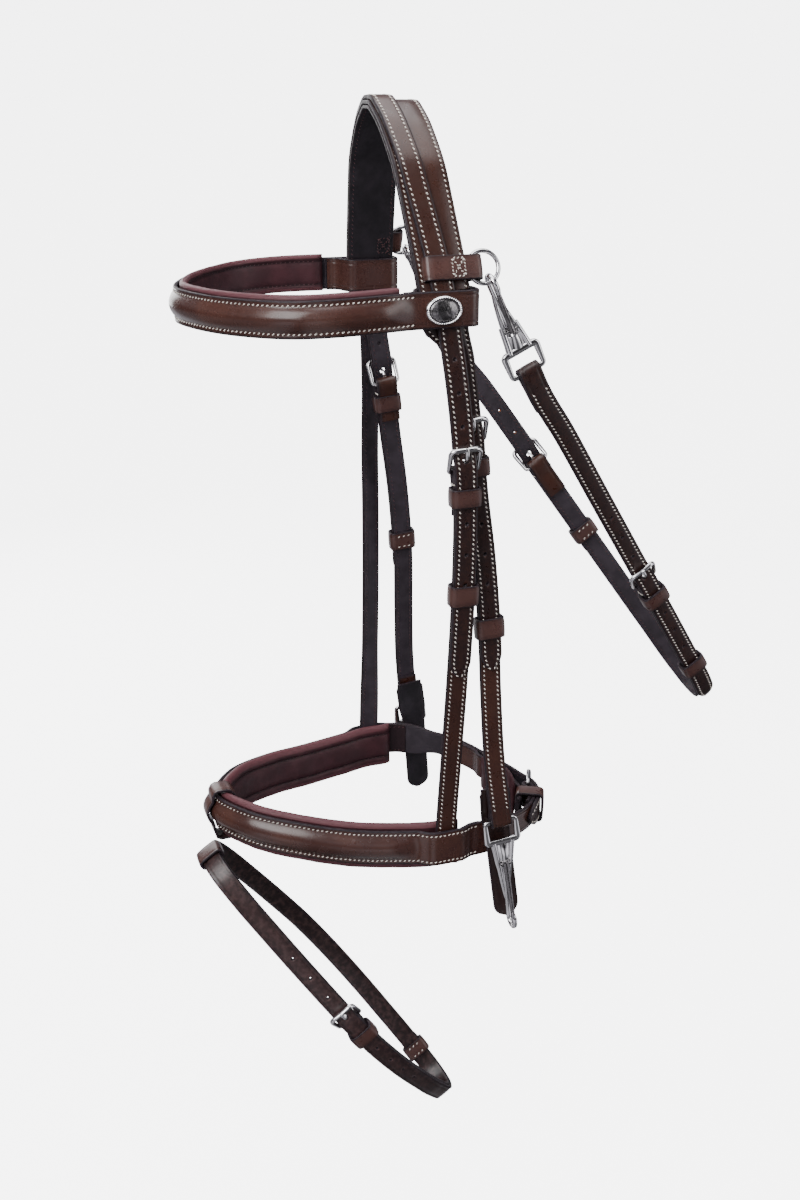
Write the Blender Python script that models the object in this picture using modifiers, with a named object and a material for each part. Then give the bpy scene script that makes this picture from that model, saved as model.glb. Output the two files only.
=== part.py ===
"""A padded bridle with a flash strap: headpiece, browband, cheekpieces, crank noseband and throatlatch.

Metres, +Z up. The horse faces -Y and its near side is +X. The origin is under the middle of the crown,
where it rests on the poll.
"""

import math

import bmesh
import bpy
import numpy as np
from mathutils import Matrix, Vector

# Clearances
GAP = 0.0004
EASE = 0.0006
SLIDE = 0.0009
HOOK_PLAY = 0.0009

# Leather
STRAP_WIDTH = 0.016
STRAP_THICKNESS = 0.0028
CROWN_WIDTH = 0.035
LINING_THICKNESS = 0.0025
HOLE_RADIUS = 0.0016
TONGUE_HOLE_RADIUS = 0.0021
HOLE_PITCH = 0.022
TIP_LENGTH = 0.010
TAB_LENGTH = 0.030
FOLD_SETTLE = 0.012

# Buckles
BAR_RADIUS = 0.0014
TONGUE_RADIUS = 0.0008
BUCKLE_LENGTH = 0.0165
BUCKLE_RISE = 0.0042
HOLE_REACH = 0.0091

# Rings and snaps
RING_RADIUS = 0.0106
RING_WIRE = 0.0015
EYE_LENGTH = 0.0165
EYE_WIRE = 0.0016
EYE_HALF = 0.0122
HOOK_RADIUS = 0.0062
HOOK_WIRE = 0.0017
SNAP_HALF_WIDTH = 0.0072
BIT_SNAP_REACH = 0.073
THROAT_SNAP_REACH = 0.056
THROAT_HANG = math.radians(25.5)
GATE_THICKNESS = 0.0009

# Keepers
KEEPER_THICKNESS = 0.0016
KEEPER_LENGTH = 0.013
KEEPER_BITE = 0.0004
RING_KEEPER_LENGTH = 0.016
RING_DROP = 0.0975
RING_FOLD = 0.0062

# The head that the bridle fits
LEG_HALF = 0.0800
LEG_DROP = 0.118
CROWN_END = 0.0085
POLL_SEAT_HALF = 0.005
HEAD_HALF = 0.0890
NOSEBAND_DROP = 0.398
BROWBAND_REACH = 0.150
BROWBAND_HALF = 0.0985
NOSE_REACH = 0.143
NOSE_HALF = 0.0885
CHIN_REACH = 0.1035
THROAT_DROP = 0.303
THROAT_SLOPE = 0.684
THROAT_LEAD = 0.009
FAR_CHEEK_AHEAD = 0.008
FAR_CHEEK_RISE = 0.007
FAR_HANGER_TURN = math.radians(21.0)
FAR_HANGER_AHEAD = 0.0055
HANGER_END = 0.0120

# Browband
BROWBAND_HEIGHT = 0.0235
BROWBAND_PAD_ABOVE = 0.0030
BROWBAND_PAD_BELOW = 0.0
BROWBAND_PAD_THICKNESS = 0.0050
BROWBAND_RAISE = 0.0035
ROSETTE_HALF_WIDTH = 0.0124
ROSETTE_HALF_HEIGHT = 0.0092
ROSETTE_THICKNESS = 0.0022

# Noseband
NOSEBAND_HEIGHT = 0.028
NOSEBAND_PAD_ABOVE = 0.0030
NOSEBAND_PAD_BELOW = 0.0070
NOSEBAND_PAD_THICKNESS = 0.0070
NOSEBAND_RAISE = 0.0045
CRANK_WIDTH = 0.020
LINK_LENGTH = 0.0125
CHIN_PAD_HEIGHT = 0.042
CHIN_PAD_START = 0.008
CHIN_PAD_END = 0.070
CHIN_PAD_THICKNESS = 0.008

# Guards behind the bit snaps
GUARD_WIDTH = 0.020
GUARD_TOP = 0.026
GUARD_LENGTH = 0.076
GUARD_THICKNESS = 0.0022

# Flash strap
FLASH_LENGTH = 0.339
FLASH_HALF = 0.067
FLASH_AHEAD = 0.007
FLASH_BELOW = 0.030
FLASH_LOOP_LENGTH = 0.016
FLASH_SLOPE = math.radians(54.9)

# Buckle, keeper and tip places, measured along each strap from its top, then from its buckle
HANGER_HEEL = 0.108
HANGER_RUNNER = 0.087
HANGER_TAIL = 0.150
CHEEK_HEEL = 0.092
CHEEK_RUNNER = 0.134
CHEEK_TAIL = 0.166
FIXED_KEEPER = 0.0165
THROAT_NEAR_HEEL = 0.222
THROAT_NEAR_RUNNER = 0.105
THROAT_NEAR_TAIL = 0.152
THROAT_FAR_HEEL = 0.134
THROAT_FAR_KEEPER = 0.072
THROAT_FAR_TAIL = 0.098
FLASH_HEEL = 0.007
FLASH_RUNNER = 0.235
FLASH_TAIL = 0.250
CRANK_HEEL = 0.060
CRANK_TAIL = 0.040
CRANK_UNDER = 0.092

LAP = STRAP_THICKNESS + GAP
ROOM = STRAP_THICKNESS + 4 * GAP
BROWBAND_LEVEL = -LEG_DROP
CROWN_END_Y = 0.0823 * LEG_DROP
NOSEBAND_LEVEL = BROWBAND_LEVEL - NOSEBAND_DROP
CROWN_LIFTS = (
    LINING_THICKNESS / 2,
    LINING_THICKNESS + GAP + STRAP_THICKNESS / 2,
    LINING_THICKNESS + GAP + LAP + STRAP_THICKNESS / 2,
)
LONGEST_STEP = 0.018
SHORTEST_STEP = 0.002
SAG = 0.00015
FINE_STEP = 0.001
X_AXIS = np.array([1.0, 0.0, 0.0])
NEAR_AND_FAR = (("near", 1.0), ("far", -1.0))
BAND_SHARES = (-1.0, -0.72, -0.30, 0.30, 0.72, 1.0)


def unit(vector):
    return np.asarray(vector, float) / np.linalg.norm(vector)


def smoothstep(value, low, high):
    share = min(max((value - low) / (high - low), 0.0), 1.0)
    return share * share * (3.0 - 2.0 * share)


def smooth(points):
    """Points FINE_STEP apart on one smooth curve through the given points."""
    knots = np.array(points, float)
    chord = np.concatenate([[0.0], np.cumsum(np.linalg.norm(np.diff(knots, axis=0), axis=1))])
    slopes = np.gradient(knots, chord, axis=0)
    at = np.linspace(0.0, chord[-1], max(2, int(chord[-1] / FINE_STEP)))
    i = np.clip(np.searchsorted(chord, at) - 1, 0, len(knots) - 2)
    span = (chord[i + 1] - chord[i])[:, None]
    t = (at - chord[i])[:, None] / span
    return (
        (2 * t**3 - 3 * t**2 + 1) * knots[i]
        + (t**3 - 2 * t**2 + t) * span * slopes[i]
        + (3 * t**2 - 2 * t**3) * knots[i + 1]
        + (t**3 - t**2) * span * slopes[i + 1]
    )


class Frame:
    """A place on a strap: the point, the way the strap runs, the way across it, and the way out of its face."""

    def __init__(self, point, run, across, outward):
        self.point, self.run, self.across, self.outward = point, run, across, outward

    def place(self, along, across, out):
        return self.point + self.run * along + self.across * across + self.outward * out

    def matrix(self, along=0.0, across=0.0, out=0.0):
        columns = np.column_stack([self.run, self.across, self.outward, self.place(along, across, out)])
        return Matrix([*map(list, columns), [0.0, 0.0, 0.0, 1.0]])

    def moved(self, along=0.0, across=0.0, out=0.0):
        return Frame(self.place(along, across, out), self.run, self.across, self.outward)

    def turned(self, angle):
        """The same place with the strap turned about its own length."""
        across = self.across * math.cos(angle) + self.outward * math.sin(angle)
        outward = self.outward * math.cos(angle) - self.across * math.sin(angle)
        return Frame(self.point, self.run, across, outward)


class Route:
    """The smooth middle line of a strap, measured by the length along it from its first point."""

    def __init__(self, points, outward=None, across=None):
        self.outward, self.across = outward, across
        self.take(smooth(points))

    def take(self, points):
        self.points = points
        steps = np.linalg.norm(np.diff(points, axis=0), axis=1)
        self.along = np.concatenate([[0.0], np.cumsum(steps)])
        self.length = self.along[-1]

    def point(self, s):
        inside = min(max(s, 0.0), self.length)
        found = np.array([np.interp(inside, self.along, self.points[:, k]) for k in range(3)])
        if s < 0.0:
            found += unit(self.points[1] - self.points[0]) * s
        if s > self.length:
            found += unit(self.points[-1] - self.points[-2]) * (s - self.length)
        return found

    def run(self, s, reach=FINE_STEP):
        return unit(self.point(s + reach) - self.point(s - reach))

    def frame(self, s):
        run = self.run(s)
        if self.outward is not None:
            across = unit(np.cross(self.outward, run))
            outward = np.cross(run, across)
        else:
            outward = unit(np.cross(run, self.across))
            across = np.cross(outward, run)
        return Frame(self.point(s), run, across, outward)

    def nearest(self, point, after=0.0):
        """The length along the route where it passes nearest to a point."""
        away = np.linalg.norm(self.points - np.asarray(point), axis=1)
        away[self.along < after] = np.inf
        return self.along[away.argmin()]

    def stations(self, start, end):
        """Places along the route, close together where it bends, so that its facets keep within SAG."""
        places = [start]
        while places[-1] < end - SHORTEST_STEP:
            s = places[-1]
            bend = np.linalg.norm(self.run(s + 0.004, 0.002) - self.run(s, 0.002)) / 0.004
            step = math.sqrt(8 * SAG / max(bend, 1e-3))
            places.append(s + min(max(step, SHORTEST_STEP), LONGEST_STEP))
        scale = (end - start) / (places[-1] - start)
        return [start + (s - start) * scale for s in places]

    def reversed(self):
        """The same route from its other end, facing the same way."""
        made = Route(self.points[:2], self.outward, None if self.across is None else -self.across)
        made.take(self.points[::-1])
        return made


def spread(start, end, step):
    return np.linspace(start, end, max(2, math.ceil(abs(end - start) / step) + 1))


def material(name, colour, roughness, metallic=0.0):
    made = bpy.data.materials.new(name)
    made.use_nodes = True
    shader = made.node_tree.nodes["Principled BSDF"]
    shader.inputs["Base Color"].default_value = (*colour, 1.0)
    shader.inputs["Roughness"].default_value = roughness
    shader.inputs["Metallic"].default_value = metallic
    return made


def add(name, data, finish, collection="bridle"):
    made = bpy.data.objects.new(name, data)
    bpy.data.collections[collection].objects.link(made)
    if finish is not None:
        data.materials.append(finish)
    return made


def pivot(name, place, *carried):
    """An empty on a joint's axis, which carries the pieces that move with that joint."""
    made = bpy.data.objects.new(name, None)
    made.empty_display_size = 0.01
    made.location = Vector(place)
    bpy.data.collections["bridle"].objects.link(made)
    for piece in carried:
        moving = bpy.data.objects[piece]
        moving.parent = made
        moving.matrix_parent_inverse = Matrix.Translation(-Vector(place))


def hide(cutter):
    """Moves a helper piece to the cutters and shows it as a wire."""
    for home in list(cutter.users_collection):
        home.objects.unlink(cutter)
    bpy.data.collections["cutters"].objects.link(cutter)
    cutter.hide_render = True
    cutter.display_type = "WIRE"
    return cutter


def add_cutter(name, bm):
    data = bpy.data.meshes.new(name)
    bm.to_mesh(data)
    bm.free()
    return hide(add(name, data, None))


def boolean(target, other, operation):
    step = target.modifiers.new(operation.lower(), "BOOLEAN")
    step.operation = operation
    step.object = other


def sheet(name, rows, thickness, finish, offset=0.0, closed=False):
    """A leather sheet: a grid laid through rows of points, each row across the strap, then thickened."""
    rows = [list(row) for row in rows]
    if closed:
        rows.append(rows[0])
    count = len(rows[0])
    bm = bmesh.new()
    bmesh.ops.create_grid(bm, x_segments=count - 1, y_segments=len(rows) - 1, size=1.0)
    bm.verts.ensure_lookup_table()
    for index, vert in enumerate(bm.verts):
        vert.co = Vector(rows[index // count][count - 1 - index % count])
    if closed:
        bmesh.ops.remove_doubles(bm, verts=bm.verts, dist=GAP / 10)
    data = bpy.data.meshes.new(name)
    bm.to_mesh(data)
    bm.free()
    data.shade_smooth()
    data.set_sharp_from_angle(angle=math.radians(40))
    made = add(name, data, finish)
    wall = made.modifiers.new("thickness", "SOLIDIFY")
    wall.thickness = thickness
    wall.offset = offset
    return made


def loft(name, rings, finish, rounds=0):
    """One closed skin through rings of points of the same count, softened by subdivision."""
    bm = bmesh.new()
    loops = [[bm.verts.new(point) for point in ring] for ring in rings]
    for low, high in zip(loops, loops[1:]):
        for k in range(len(low)):
            bm.faces.new((low[k - 1], low[k], high[k], high[k - 1]))
    bm.faces.new(loops[0][::-1])
    bm.faces.new(loops[-1])
    bmesh.ops.recalc_face_normals(bm, faces=bm.faces)
    data = bpy.data.meshes.new(name)
    bm.to_mesh(data)
    bm.free()
    data.shade_smooth()
    data.set_sharp_from_angle(angle=math.radians(50))
    made = add(name, data, finish)
    if rounds:
        soft = made.modifiers.new("soft", "SUBSURF")
        soft.levels = rounds
        soft.render_levels = rounds
    return made


def wire(name, points, radius, finish, cyclic=False, roundness=2):
    data = bpy.data.curves.new(name, "CURVE")
    data.dimensions = "3D"
    data.bevel_depth = radius
    data.bevel_resolution = roundness
    data.use_fill_caps = not cyclic
    line = data.splines.new("POLY")
    line.points.add(len(points) - 1)
    for knot, point in zip(line.points, points):
        knot.co = (*point, 1.0)
    line.use_cyclic_u = cyclic
    line.use_smooth = True
    return add(name, data, finish)


def wire_cutter(name, points, radius):
    """A closed wire made a mesh, so that it can be joined to another piece."""
    curve = wire(name, points, radius, None, cyclic=True)
    bpy.context.view_layer.update()
    data = bpy.data.meshes.new_from_object(curve.evaluated_get(bpy.context.evaluated_depsgraph_get()))
    bm = bmesh.new()
    bm.from_mesh(data)
    bmesh.ops.remove_doubles(bm, verts=bm.verts, dist=GAP / 10)
    bm.to_mesh(data)
    bm.free()
    place = curve.matrix_world.copy()
    bpy.data.objects.remove(curve)
    made = hide(add(name, data, None))
    made.matrix_world = place
    return made


def rounded(half_width, low, high, radius, per_corner=3):
    """Points round a rectangle with round corners, anticlockwise."""
    corners = ((half_width, high), (-half_width, high), (-half_width, low), (half_width, low))
    points = []
    for turn, (x, y) in enumerate(corners):
        cx, cy = x - math.copysign(radius, x), y - radius if y == high else y + radius
        for k in range(per_corner):
            angle = math.radians(90.0 * (turn + k / (per_corner - 1)))
            points.append((cx + radius * math.cos(angle), cy + radius * math.sin(angle)))
    return points


def row_at(frame, half, lift, shares=(-1.0, 1.0)):
    """Points across a strap at a frame."""
    return [frame.place(0.0, share * half, lift) for share in shares]


def fold_radius(bar):
    return STRAP_THICKNESS / 2 + GAP + bar


def fold_rows(frame, bar, half, toward, shares=(-1.0, 1.0)):
    """Rows round a bar, from the strap's level to its own inner side."""
    radius = fold_radius(bar)
    rows = []
    for k in range(1, 8):
        angle = math.pi * k / 8
        spot = frame.moved(along=toward * radius * math.sin(angle))
        rows.append(row_at(spot, half, radius * (math.cos(angle) - 1.0), shares))
    return rows


def settled(s, bar):
    """The level of a tab behind its strap, which closes up past the fold at s."""
    deep = -2 * fold_radius(bar)
    return lambda place: deep - (LAP + deep) * smoothstep(abs(place - s), 0.0, FOLD_SETTLE)


def tab_rows(route, s, bar, half, toward, length, under=None, shares=(-1.0, 1.0)):
    """Rows of the end that comes back behind the strap after a fold at s."""
    level = under or settled(s, bar)
    ends = sorted((s, s - toward * length))
    places = lift_stations(route, *ends, level)[::-int(toward)]
    return [row_at(route.frame(place), half, level(place), shares) for place in places]


def tip_rows(route, end, half, lift):
    """Rows that round off a strap's end."""
    rows = []
    for share in (0.35, 0.65, 0.85, 1.0):
        narrow = max(half * math.sqrt(max(0.0, 1.0 - share**2)), half / 5)
        s = end - TIP_LENGTH * (1.0 - share)
        rows.append(row_at(route.frame(s), narrow, lift(s)))
    return rows


def flat(s):
    return 0.0


def strap(name, route, start, end, finish, lift=flat, width=STRAP_WIDTH, fold_at_start=None,
          fold_at_end=None, tip=False, tab=TAB_LENGTH, under=None):
    """A flat strap along a route, with a fold round a bar at either end, or a rounded tip at its end."""
    half = width / 2
    rows = []
    if fold_at_start is not None:
        rows += tab_rows(route, start, fold_at_start, half, -1.0, tab, under)[::-1]
        rows += fold_rows(route.frame(start), fold_at_start, half, -1.0)[::-1]
    last = end - TIP_LENGTH if tip else end
    rows += [row_at(route.frame(s), half, lift(s)) for s in lift_stations(route, start, last, lift)]
    if tip:
        rows += tip_rows(route, end, half, lift)
    if fold_at_end is not None:
        rows += fold_rows(route.frame(end), fold_at_end, half, 1.0)
        rows += tab_rows(route, end, fold_at_end, half, 1.0, tab, under)
    return sheet(name, rows, STRAP_THICKNESS, finish)


def lift_stations(route, start, end, lift):
    """The route's stations, and more of them where the strap climbs from one level to another."""
    places = list(route.stations(start, end))
    extra = []
    for low, high in zip(places, places[1:]):
        if abs(lift(high) - lift(low)) > GAP:
            extra += list(spread(low, high, 0.0035)[1:-1])
    return sorted(places + extra)


def punch(target, route, heel, lift, numbers):
    """Cuts a billet's holes, which stand a pitch apart from the one that the buckle's tongue is in."""
    bm = bmesh.new()
    for number in numbers:
        s = heel + number * HOLE_PITCH - HOLE_REACH
        radius = TONGUE_HOLE_RADIUS if number == 0 else HOLE_RADIUS
        depth = STRAP_THICKNESS + GAP if number > 0 else 4 * STRAP_THICKNESS
        bmesh.ops.create_cone(bm, cap_ends=True, segments=8, radius1=radius, radius2=radius, depth=depth,
                              matrix=route.frame(s).matrix(0.0, 0.0, lift(s)))
    boolean(target, add_cutter(target.name + "_holes", bm), "DIFFERENCE")


def slot(target, frame, toward=-1.0):
    """Cuts the slot that a buckle's tongue turns in, through the fold round the bar."""
    reach = fold_radius(BAR_RADIUS) + STRAP_THICKNESS
    back = BAR_RADIUS + 2 * TONGUE_RADIUS + 2 * EASE
    size = Matrix.Diagonal((reach + back, 2 * (TONGUE_RADIUS + EASE), 6 * STRAP_THICKNESS, 1.0))
    place = frame.matrix(toward * (reach - back) / 2, 0.0, STRAP_THICKNESS / 2 + EASE - 3 * STRAP_THICKNESS)
    bm = bmesh.new()
    bmesh.ops.create_cube(bm, size=1.0, matrix=place @ size)
    ending = "_far_slot" if toward > 0 else "_slot"
    boolean(target, add_cutter(target.name + ending, bm), "DIFFERENCE")


def buckle(name, frame, finish, width=STRAP_WIDTH):
    """A buckle frame with its heel bar in the fold at a frame, and its tongue. Both reach back along the
    route, to the side that the billet comes from."""
    low = -fold_radius(BAR_RADIUS)
    rise = BUCKLE_RISE - low
    length = math.hypot(BUCKLE_LENGTH, rise)
    outline = rounded(width / 2 + EASE + 1.2 * BAR_RADIUS, 0.0, length, 1.6 * BAR_RADIUS)
    points = [frame.place(-BUCKLE_LENGTH * v / length, a, low + rise * v / length) for a, v in outline]
    wire(name + "_frame", points, BAR_RADIUS, finish, cyclic=True, roundness=1)
    eye = BAR_RADIUS + GAP + TONGUE_RADIUS + GAP / 3
    rest = BUCKLE_RISE + BAR_RADIUS + GAP + TONGUE_RADIUS
    side = [
        (eye * math.cos(math.radians(angle)), low + eye * math.sin(math.radians(angle)))
        for angle in range(-90, -271, -30)
    ]
    side += [
        (HOLE_REACH - 0.0056, low + eye - 0.0002),
        (HOLE_REACH - 0.0021, low + 0.0019),
        (HOLE_REACH - 0.0003, low + 0.0029),
        (HOLE_REACH, low + 0.0050),
        (HOLE_REACH + 0.0001, low + 0.0068),
        (HOLE_REACH + 0.0010, rest - 0.0014),
        (BUCKLE_LENGTH - 0.0028, rest - 0.0002),
        (BUCKLE_LENGTH, rest),
        (BUCKLE_LENGTH + 0.0020, rest - 0.0001),
    ]
    wire(name + "_tongue", [frame.place(-u, 0.0, h) for u, h in side], TONGUE_RADIUS, finish, roundness=1)
    pivot(name + "_tongue_axis", frame.place(0.0, 0.0, low), name + "_tongue")


def keeper_rows(route, s, outline, length, bends):
    """Rows round a keeper's outline, which follow the route's bend where it has one."""
    steps = (-length / 2, 0.0, length / 2) if bends else (-length / 2, length / 2)
    middle = route.frame(s)
    frames = [route.frame(s + step) if bends else middle.moved(along=step) for step in steps]
    return [[frame.place(0.0, a, h) for frame in frames] for a, h in outline]


def runner(name, route, s, finish, length=KEEPER_LENGTH):
    """A loose keeper round a strap and the billet on it."""
    low, high = -STRAP_THICKNESS / 2 - SLIDE, LAP + STRAP_THICKNESS / 2 + SLIDE
    rows = keeper_rows(route, s, rounded(STRAP_WIDTH / 2 + EASE, low, high, 0.0012), length, False)
    sheet(name, rows, KEEPER_THICKNESS, finish, offset=1.0, closed=True)
    pivot(name + "_axis", route.point(s), name)


def sew_keeper(target, route, s):
    """Joins a fixed keeper to its strap: it is sewn to the tab behind the strap."""
    low, high = -STRAP_THICKNESS / 2 - LAP + KEEPER_BITE, LAP + STRAP_THICKNESS / 2 + EASE
    rows = keeper_rows(route, s, rounded(STRAP_WIDTH / 2 + EASE, low, high, 0.0012), KEEPER_LENGTH, False)
    made = sheet(target.name + "_keeper", rows, KEEPER_THICKNESS, None, offset=1.0, closed=True)
    boolean(target, hide(made), "UNION")


def billet_lift(heel):
    """How far a billet rides over the strap that holds its buckle."""
    return lambda s: LAP * smoothstep(s, heel - BUCKLE_LENGTH - 0.003, heel - 0.002)


def hook_line(reach):
    """The hook's middle line seen from its side: along from the eye's inner bar, and out."""
    turn = reach - HOOK_RADIUS - HOOK_WIRE
    line = [(0.0005, 0.0), (0.010, -0.0006), (0.38 * reach, -0.0026), (turn - 0.012, -0.0052)]
    line.append((turn - 0.004, -HOOK_RADIUS))
    for k in range(7):
        angle = math.pi * k / 6
        line.append((turn + HOOK_RADIUS * math.sin(angle), -HOOK_RADIUS * math.cos(angle)))
    line.append((turn - 0.006, HOOK_RADIUS - 0.0006))
    return line


def hook_rings(frame, reach):
    """Sections along a snap's body: broad and flat at the eye, round in the hook."""
    line = hook_line(reach)
    rings = []
    for k, (u, h) in enumerate(line):
        before, after = line[max(k - 1, 0)], line[min(k + 1, len(line) - 1)]
        run = unit((after[0] - before[0], after[1] - before[1]))
        share = smoothstep(u if k < len(line) - 8 else reach, 0.0, 0.66 * reach)
        half_width = (1.0 - share) * SNAP_HALF_WIDTH + share * HOOK_WIRE
        half_depth = (1.0 - share) * (EYE_WIRE + EASE) + share * HOOK_WIRE
        ring = []
        for corner in range(8):
            angle = math.radians(45 * corner + 22.5)
            out = half_depth * math.sin(angle)
            ring.append(frame.place(EYE_LENGTH + u - run[1] * out, half_width * math.cos(angle),
                                    h + run[0] * out))
        rings.append(ring)
    return rings


def gate_ends(reach):
    """Where a snap's gate is hinged, and where it closes on the hook's point."""
    return EYE_LENGTH + 0.24 * reach, EYE_LENGTH + reach - HOOK_RADIUS - HOOK_WIRE - 0.002


def snap(name, frame, reach, finish):
    """A spring snap. The frame is at the middle of the eye's outer bar and runs towards the hook."""
    outline = rounded(EYE_HALF, 0.0, EYE_LENGTH, 2.0 * EYE_WIRE)
    eye = wire_cutter(name + "_eye", [frame.place(v, a, 0.0) for a, v in outline], EYE_WIRE)
    boolean(loft(name + "_body", hook_rings(frame, reach), finish), eye, "UNION")
    hinge, latch = gate_ends(reach)
    foot, end = 0.0030, HOOK_RADIUS - HOOK_WIRE - 0.0012
    rows = []
    for u in spread(hinge, latch, 0.012):
        share = (u - hinge) / (latch - hinge)
        rows.append(row_at(frame.moved(along=u), 0.0030 - 0.0010 * share, foot + (end - foot) * share))
    sheet(name + "_gate", rows, GATE_THICKNESS, finish)
    pivot(name + "_gate_axis", frame.place(hinge, 0.0, foot), name + "_gate")


def arch_route():
    """The crown's underside over the poll, from the near end of its leg to the far one."""
    shape = ((0.0, 0.0), (0.07, 0.0), (0.15, 0.028), (0.30, 0.093), (0.44, 0.185), (0.585, 0.305), (0.69, 0.455),
             (0.785, 0.605), (0.935, 0.855), (1.0, 1.0))
    near = [(LEG_HALF * x, -0.0005 + 0.088 * LEG_DROP * z, -LEG_DROP * z) for x, z in shape]
    far = [(-x, y, z) for x, y, z in near[1:]]
    return Route(near[::-1] + far, across=np.array([0.0, -1.0, 0.0]))


def hanger_route(side):
    """The middle of the noseband's hanging strap, from the browband to the noseband."""
    shape = ((-0.0074, 0.0085, 0.0), (-0.0064, 0.0100, 0.03), (-0.0009, 0.0138, 0.118), (0.0034, 0.0172, 0.22),
             (0.0036, 0.0190, 0.357), (0.0024, 0.0190, 0.47), (-0.0009, 0.0175, 0.646), (-0.0042, 0.0152, 0.81))
    ahead = FAR_HANGER_AHEAD if side < 0 else 0.0
    line = [(side * (HEAD_HALF + 2 * LAP + x), y - ahead * smoothstep(z, 0.05, 0.40),
             BROWBAND_LEVEL - NOSEBAND_DROP * z) for x, y, z in shape]
    for y, level in ((0.0008, NOSEBAND_LEVEL + NOSEBAND_HEIGHT / 2), (0.0, NOSEBAND_LEVEL - NOSEBAND_HEIGHT / 4)):
        line.append((side * NOSE_HALF, HANGER_END - ahead + y, level))
    return Route(line, outward=side * X_AXIS)


def cheek_route(side):
    """The middle of the cheekpiece, from the browband to the bit snap's bar."""
    shape = ((-0.0062, 0.0170, 0.0), (-0.0055, 0.0188, 0.03), (-0.0046, 0.0222, 0.10), (-0.0047, 0.0272, 0.19),
             (-0.0047, 0.0320, 0.31), (-0.0025, 0.0380, 0.43), (0.0010, 0.0423, 0.57), (0.0060, 0.0435, 0.70),
             (0.0110, 0.0450, 0.81), (0.0180, 0.0500, 0.945))
    ahead = FAR_CHEEK_AHEAD if side < 0 else 0.0
    line = [(side * (HEAD_HALF + x), y - ahead * (1.0 - z), BROWBAND_LEVEL - NOSEBAND_DROP * z)
            for x, y, z in shape]
    return Route(line, outward=side * X_AXIS)


def browband_route():
    """The middle of the browband's leather, from the sewn near end round the brow to the far one."""
    inner, outer = LEG_HALF - 0.0001 - 2 * LAP, LEG_HALF + 0.0002 + 4 * LAP
    rear = 0.0290
    near = [(inner, -0.004), (inner, 0.010), (inner, rear - 0.009), (inner + 0.001, rear - 0.002),
            ((inner + outer) / 2, rear + 0.0005), (outer - 0.001, rear - 0.002), (outer, rear - 0.009),
            (outer + 0.0005, 0.004), (BROWBAND_HALF - 0.005, -0.016), (BROWBAND_HALF - 0.001, -0.039),
            (BROWBAND_HALF, -0.066), (0.945 * BROWBAND_HALF, -0.60 * BROWBAND_REACH),
            (0.70 * BROWBAND_HALF, -0.795 * BROWBAND_REACH), (0.33 * BROWBAND_HALF, -0.945 * BROWBAND_REACH)]
    line = near + [(0.0, -BROWBAND_REACH)] + [(-x, y) for x, y in near[::-1]]
    dip = 0.003
    points = [(x, y, BROWBAND_LEVEL - dip * smoothstep(-y, 0.02, BROWBAND_REACH)) for x, y in line]
    return Route(points, across=np.array([0.0, 0.0, -1.0]))


def noseband_route():
    """The middle of the noseband's leather. It starts at the link behind the chin, goes up the near side,
    over the nose and down the far side, and ends at the same link."""
    link_at = (-0.018, CHIN_REACH - 0.0150)
    chin = [(0.0, CHIN_REACH - 0.0079), (0.012, CHIN_REACH - 0.0037), (0.030, CHIN_REACH), (0.050, CHIN_REACH - 0.0015),
            (0.0670, CHIN_REACH - 0.0120), (0.0800, 0.0710)]
    side = [(NOSE_HALF - 0.001, 0.046), (NOSE_HALF, 0.030), (NOSE_HALF, 0.018), (NOSE_HALF, 0.004),
            (NOSE_HALF - 0.0065, -0.022), (NOSE_HALF - 0.0175, -0.40 * NOSE_REACH),
            (0.645 * NOSE_HALF, -0.632 * NOSE_REACH), (0.36 * NOSE_HALF, -0.885 * NOSE_REACH)]
    far_chin = [(-0.0790, 0.0460), (-0.0640, 0.0645), (-0.0420, CHIN_REACH - 0.0245)]
    line = [link_at] + chin + side + [(0.0, -NOSE_REACH)] + [(-x, y) for x, y in side[:0:-1]]
    line += far_chin + [link_at]
    rise = 0.010
    points = [(x, y, NOSEBAND_LEVEL + rise * smoothstep(-y, 0.03, NOSE_REACH)) for x, y in line]
    return Route(points, across=np.array([0.0, 0.0, -1.0]))


def flash_route():
    """The flash strap's middle line. It starts above the buckle on the near side, goes down, round and up the
    far side, across under the nose, and follows itself from there down to the far side again."""
    shape = ((0.0, 0.0), (0.13, 0.002), (0.27, 0.019), (0.49, 0.088), (0.66, 0.183), (0.865, 0.324),
             (1.0, 0.457), (0.985, 0.575), (0.865, 0.693), (0.67, 0.802), (0.42, 0.914), (0.15, 0.988))
    start, turn = 6, len(shape)
    near = [(FLASH_HALF * x, FLASH_LENGTH * d) for x, d in shape]
    far = [(-x, d) for x, d in near[::-1]]
    below = near[start:] + [(0.0, FLASH_LENGTH)]
    line = below + far[:-1] + near[:start] + below + far[:turn - 4]
    top = (-NOSE_REACH - FLASH_AHEAD, NOSEBAND_LEVEL - FLASH_BELOW)
    down = (math.cos(FLASH_SLOPE), -math.sin(FLASH_SLOPE))
    points = [(x, top[0] + down[0] * d, top[1] + down[1] * d) for x, d in line]
    return Route(points, across=np.array([0.0, -down[1], down[0]]))


def dome(height, half):
    """How much of the full raise a band has at a height from its middle."""
    share = min(abs(height) / (0.72 * half), 1.0)
    return math.cos(math.pi / 2 * share)


def raised(amount, low, high, fade=0.030):
    """Full height between two places on a band, falling away to nothing past them."""
    return lambda s: amount * smoothstep(s, low - fade, low) * smoothstep(-s, -high - fade, -high)


def band_rows(route, places, half_at, lift_at, raise_at):
    """Rows of a band whose middle stands out over its edges."""
    rows = []
    for s in places:
        frame, half = route.frame(s), half_at(s)
        rows.append([frame.place(0.0, share * half, lift_at(s) + raise_at(s) * dome(share * half, half))
                     for share in BAND_SHARES])
    return rows


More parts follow.
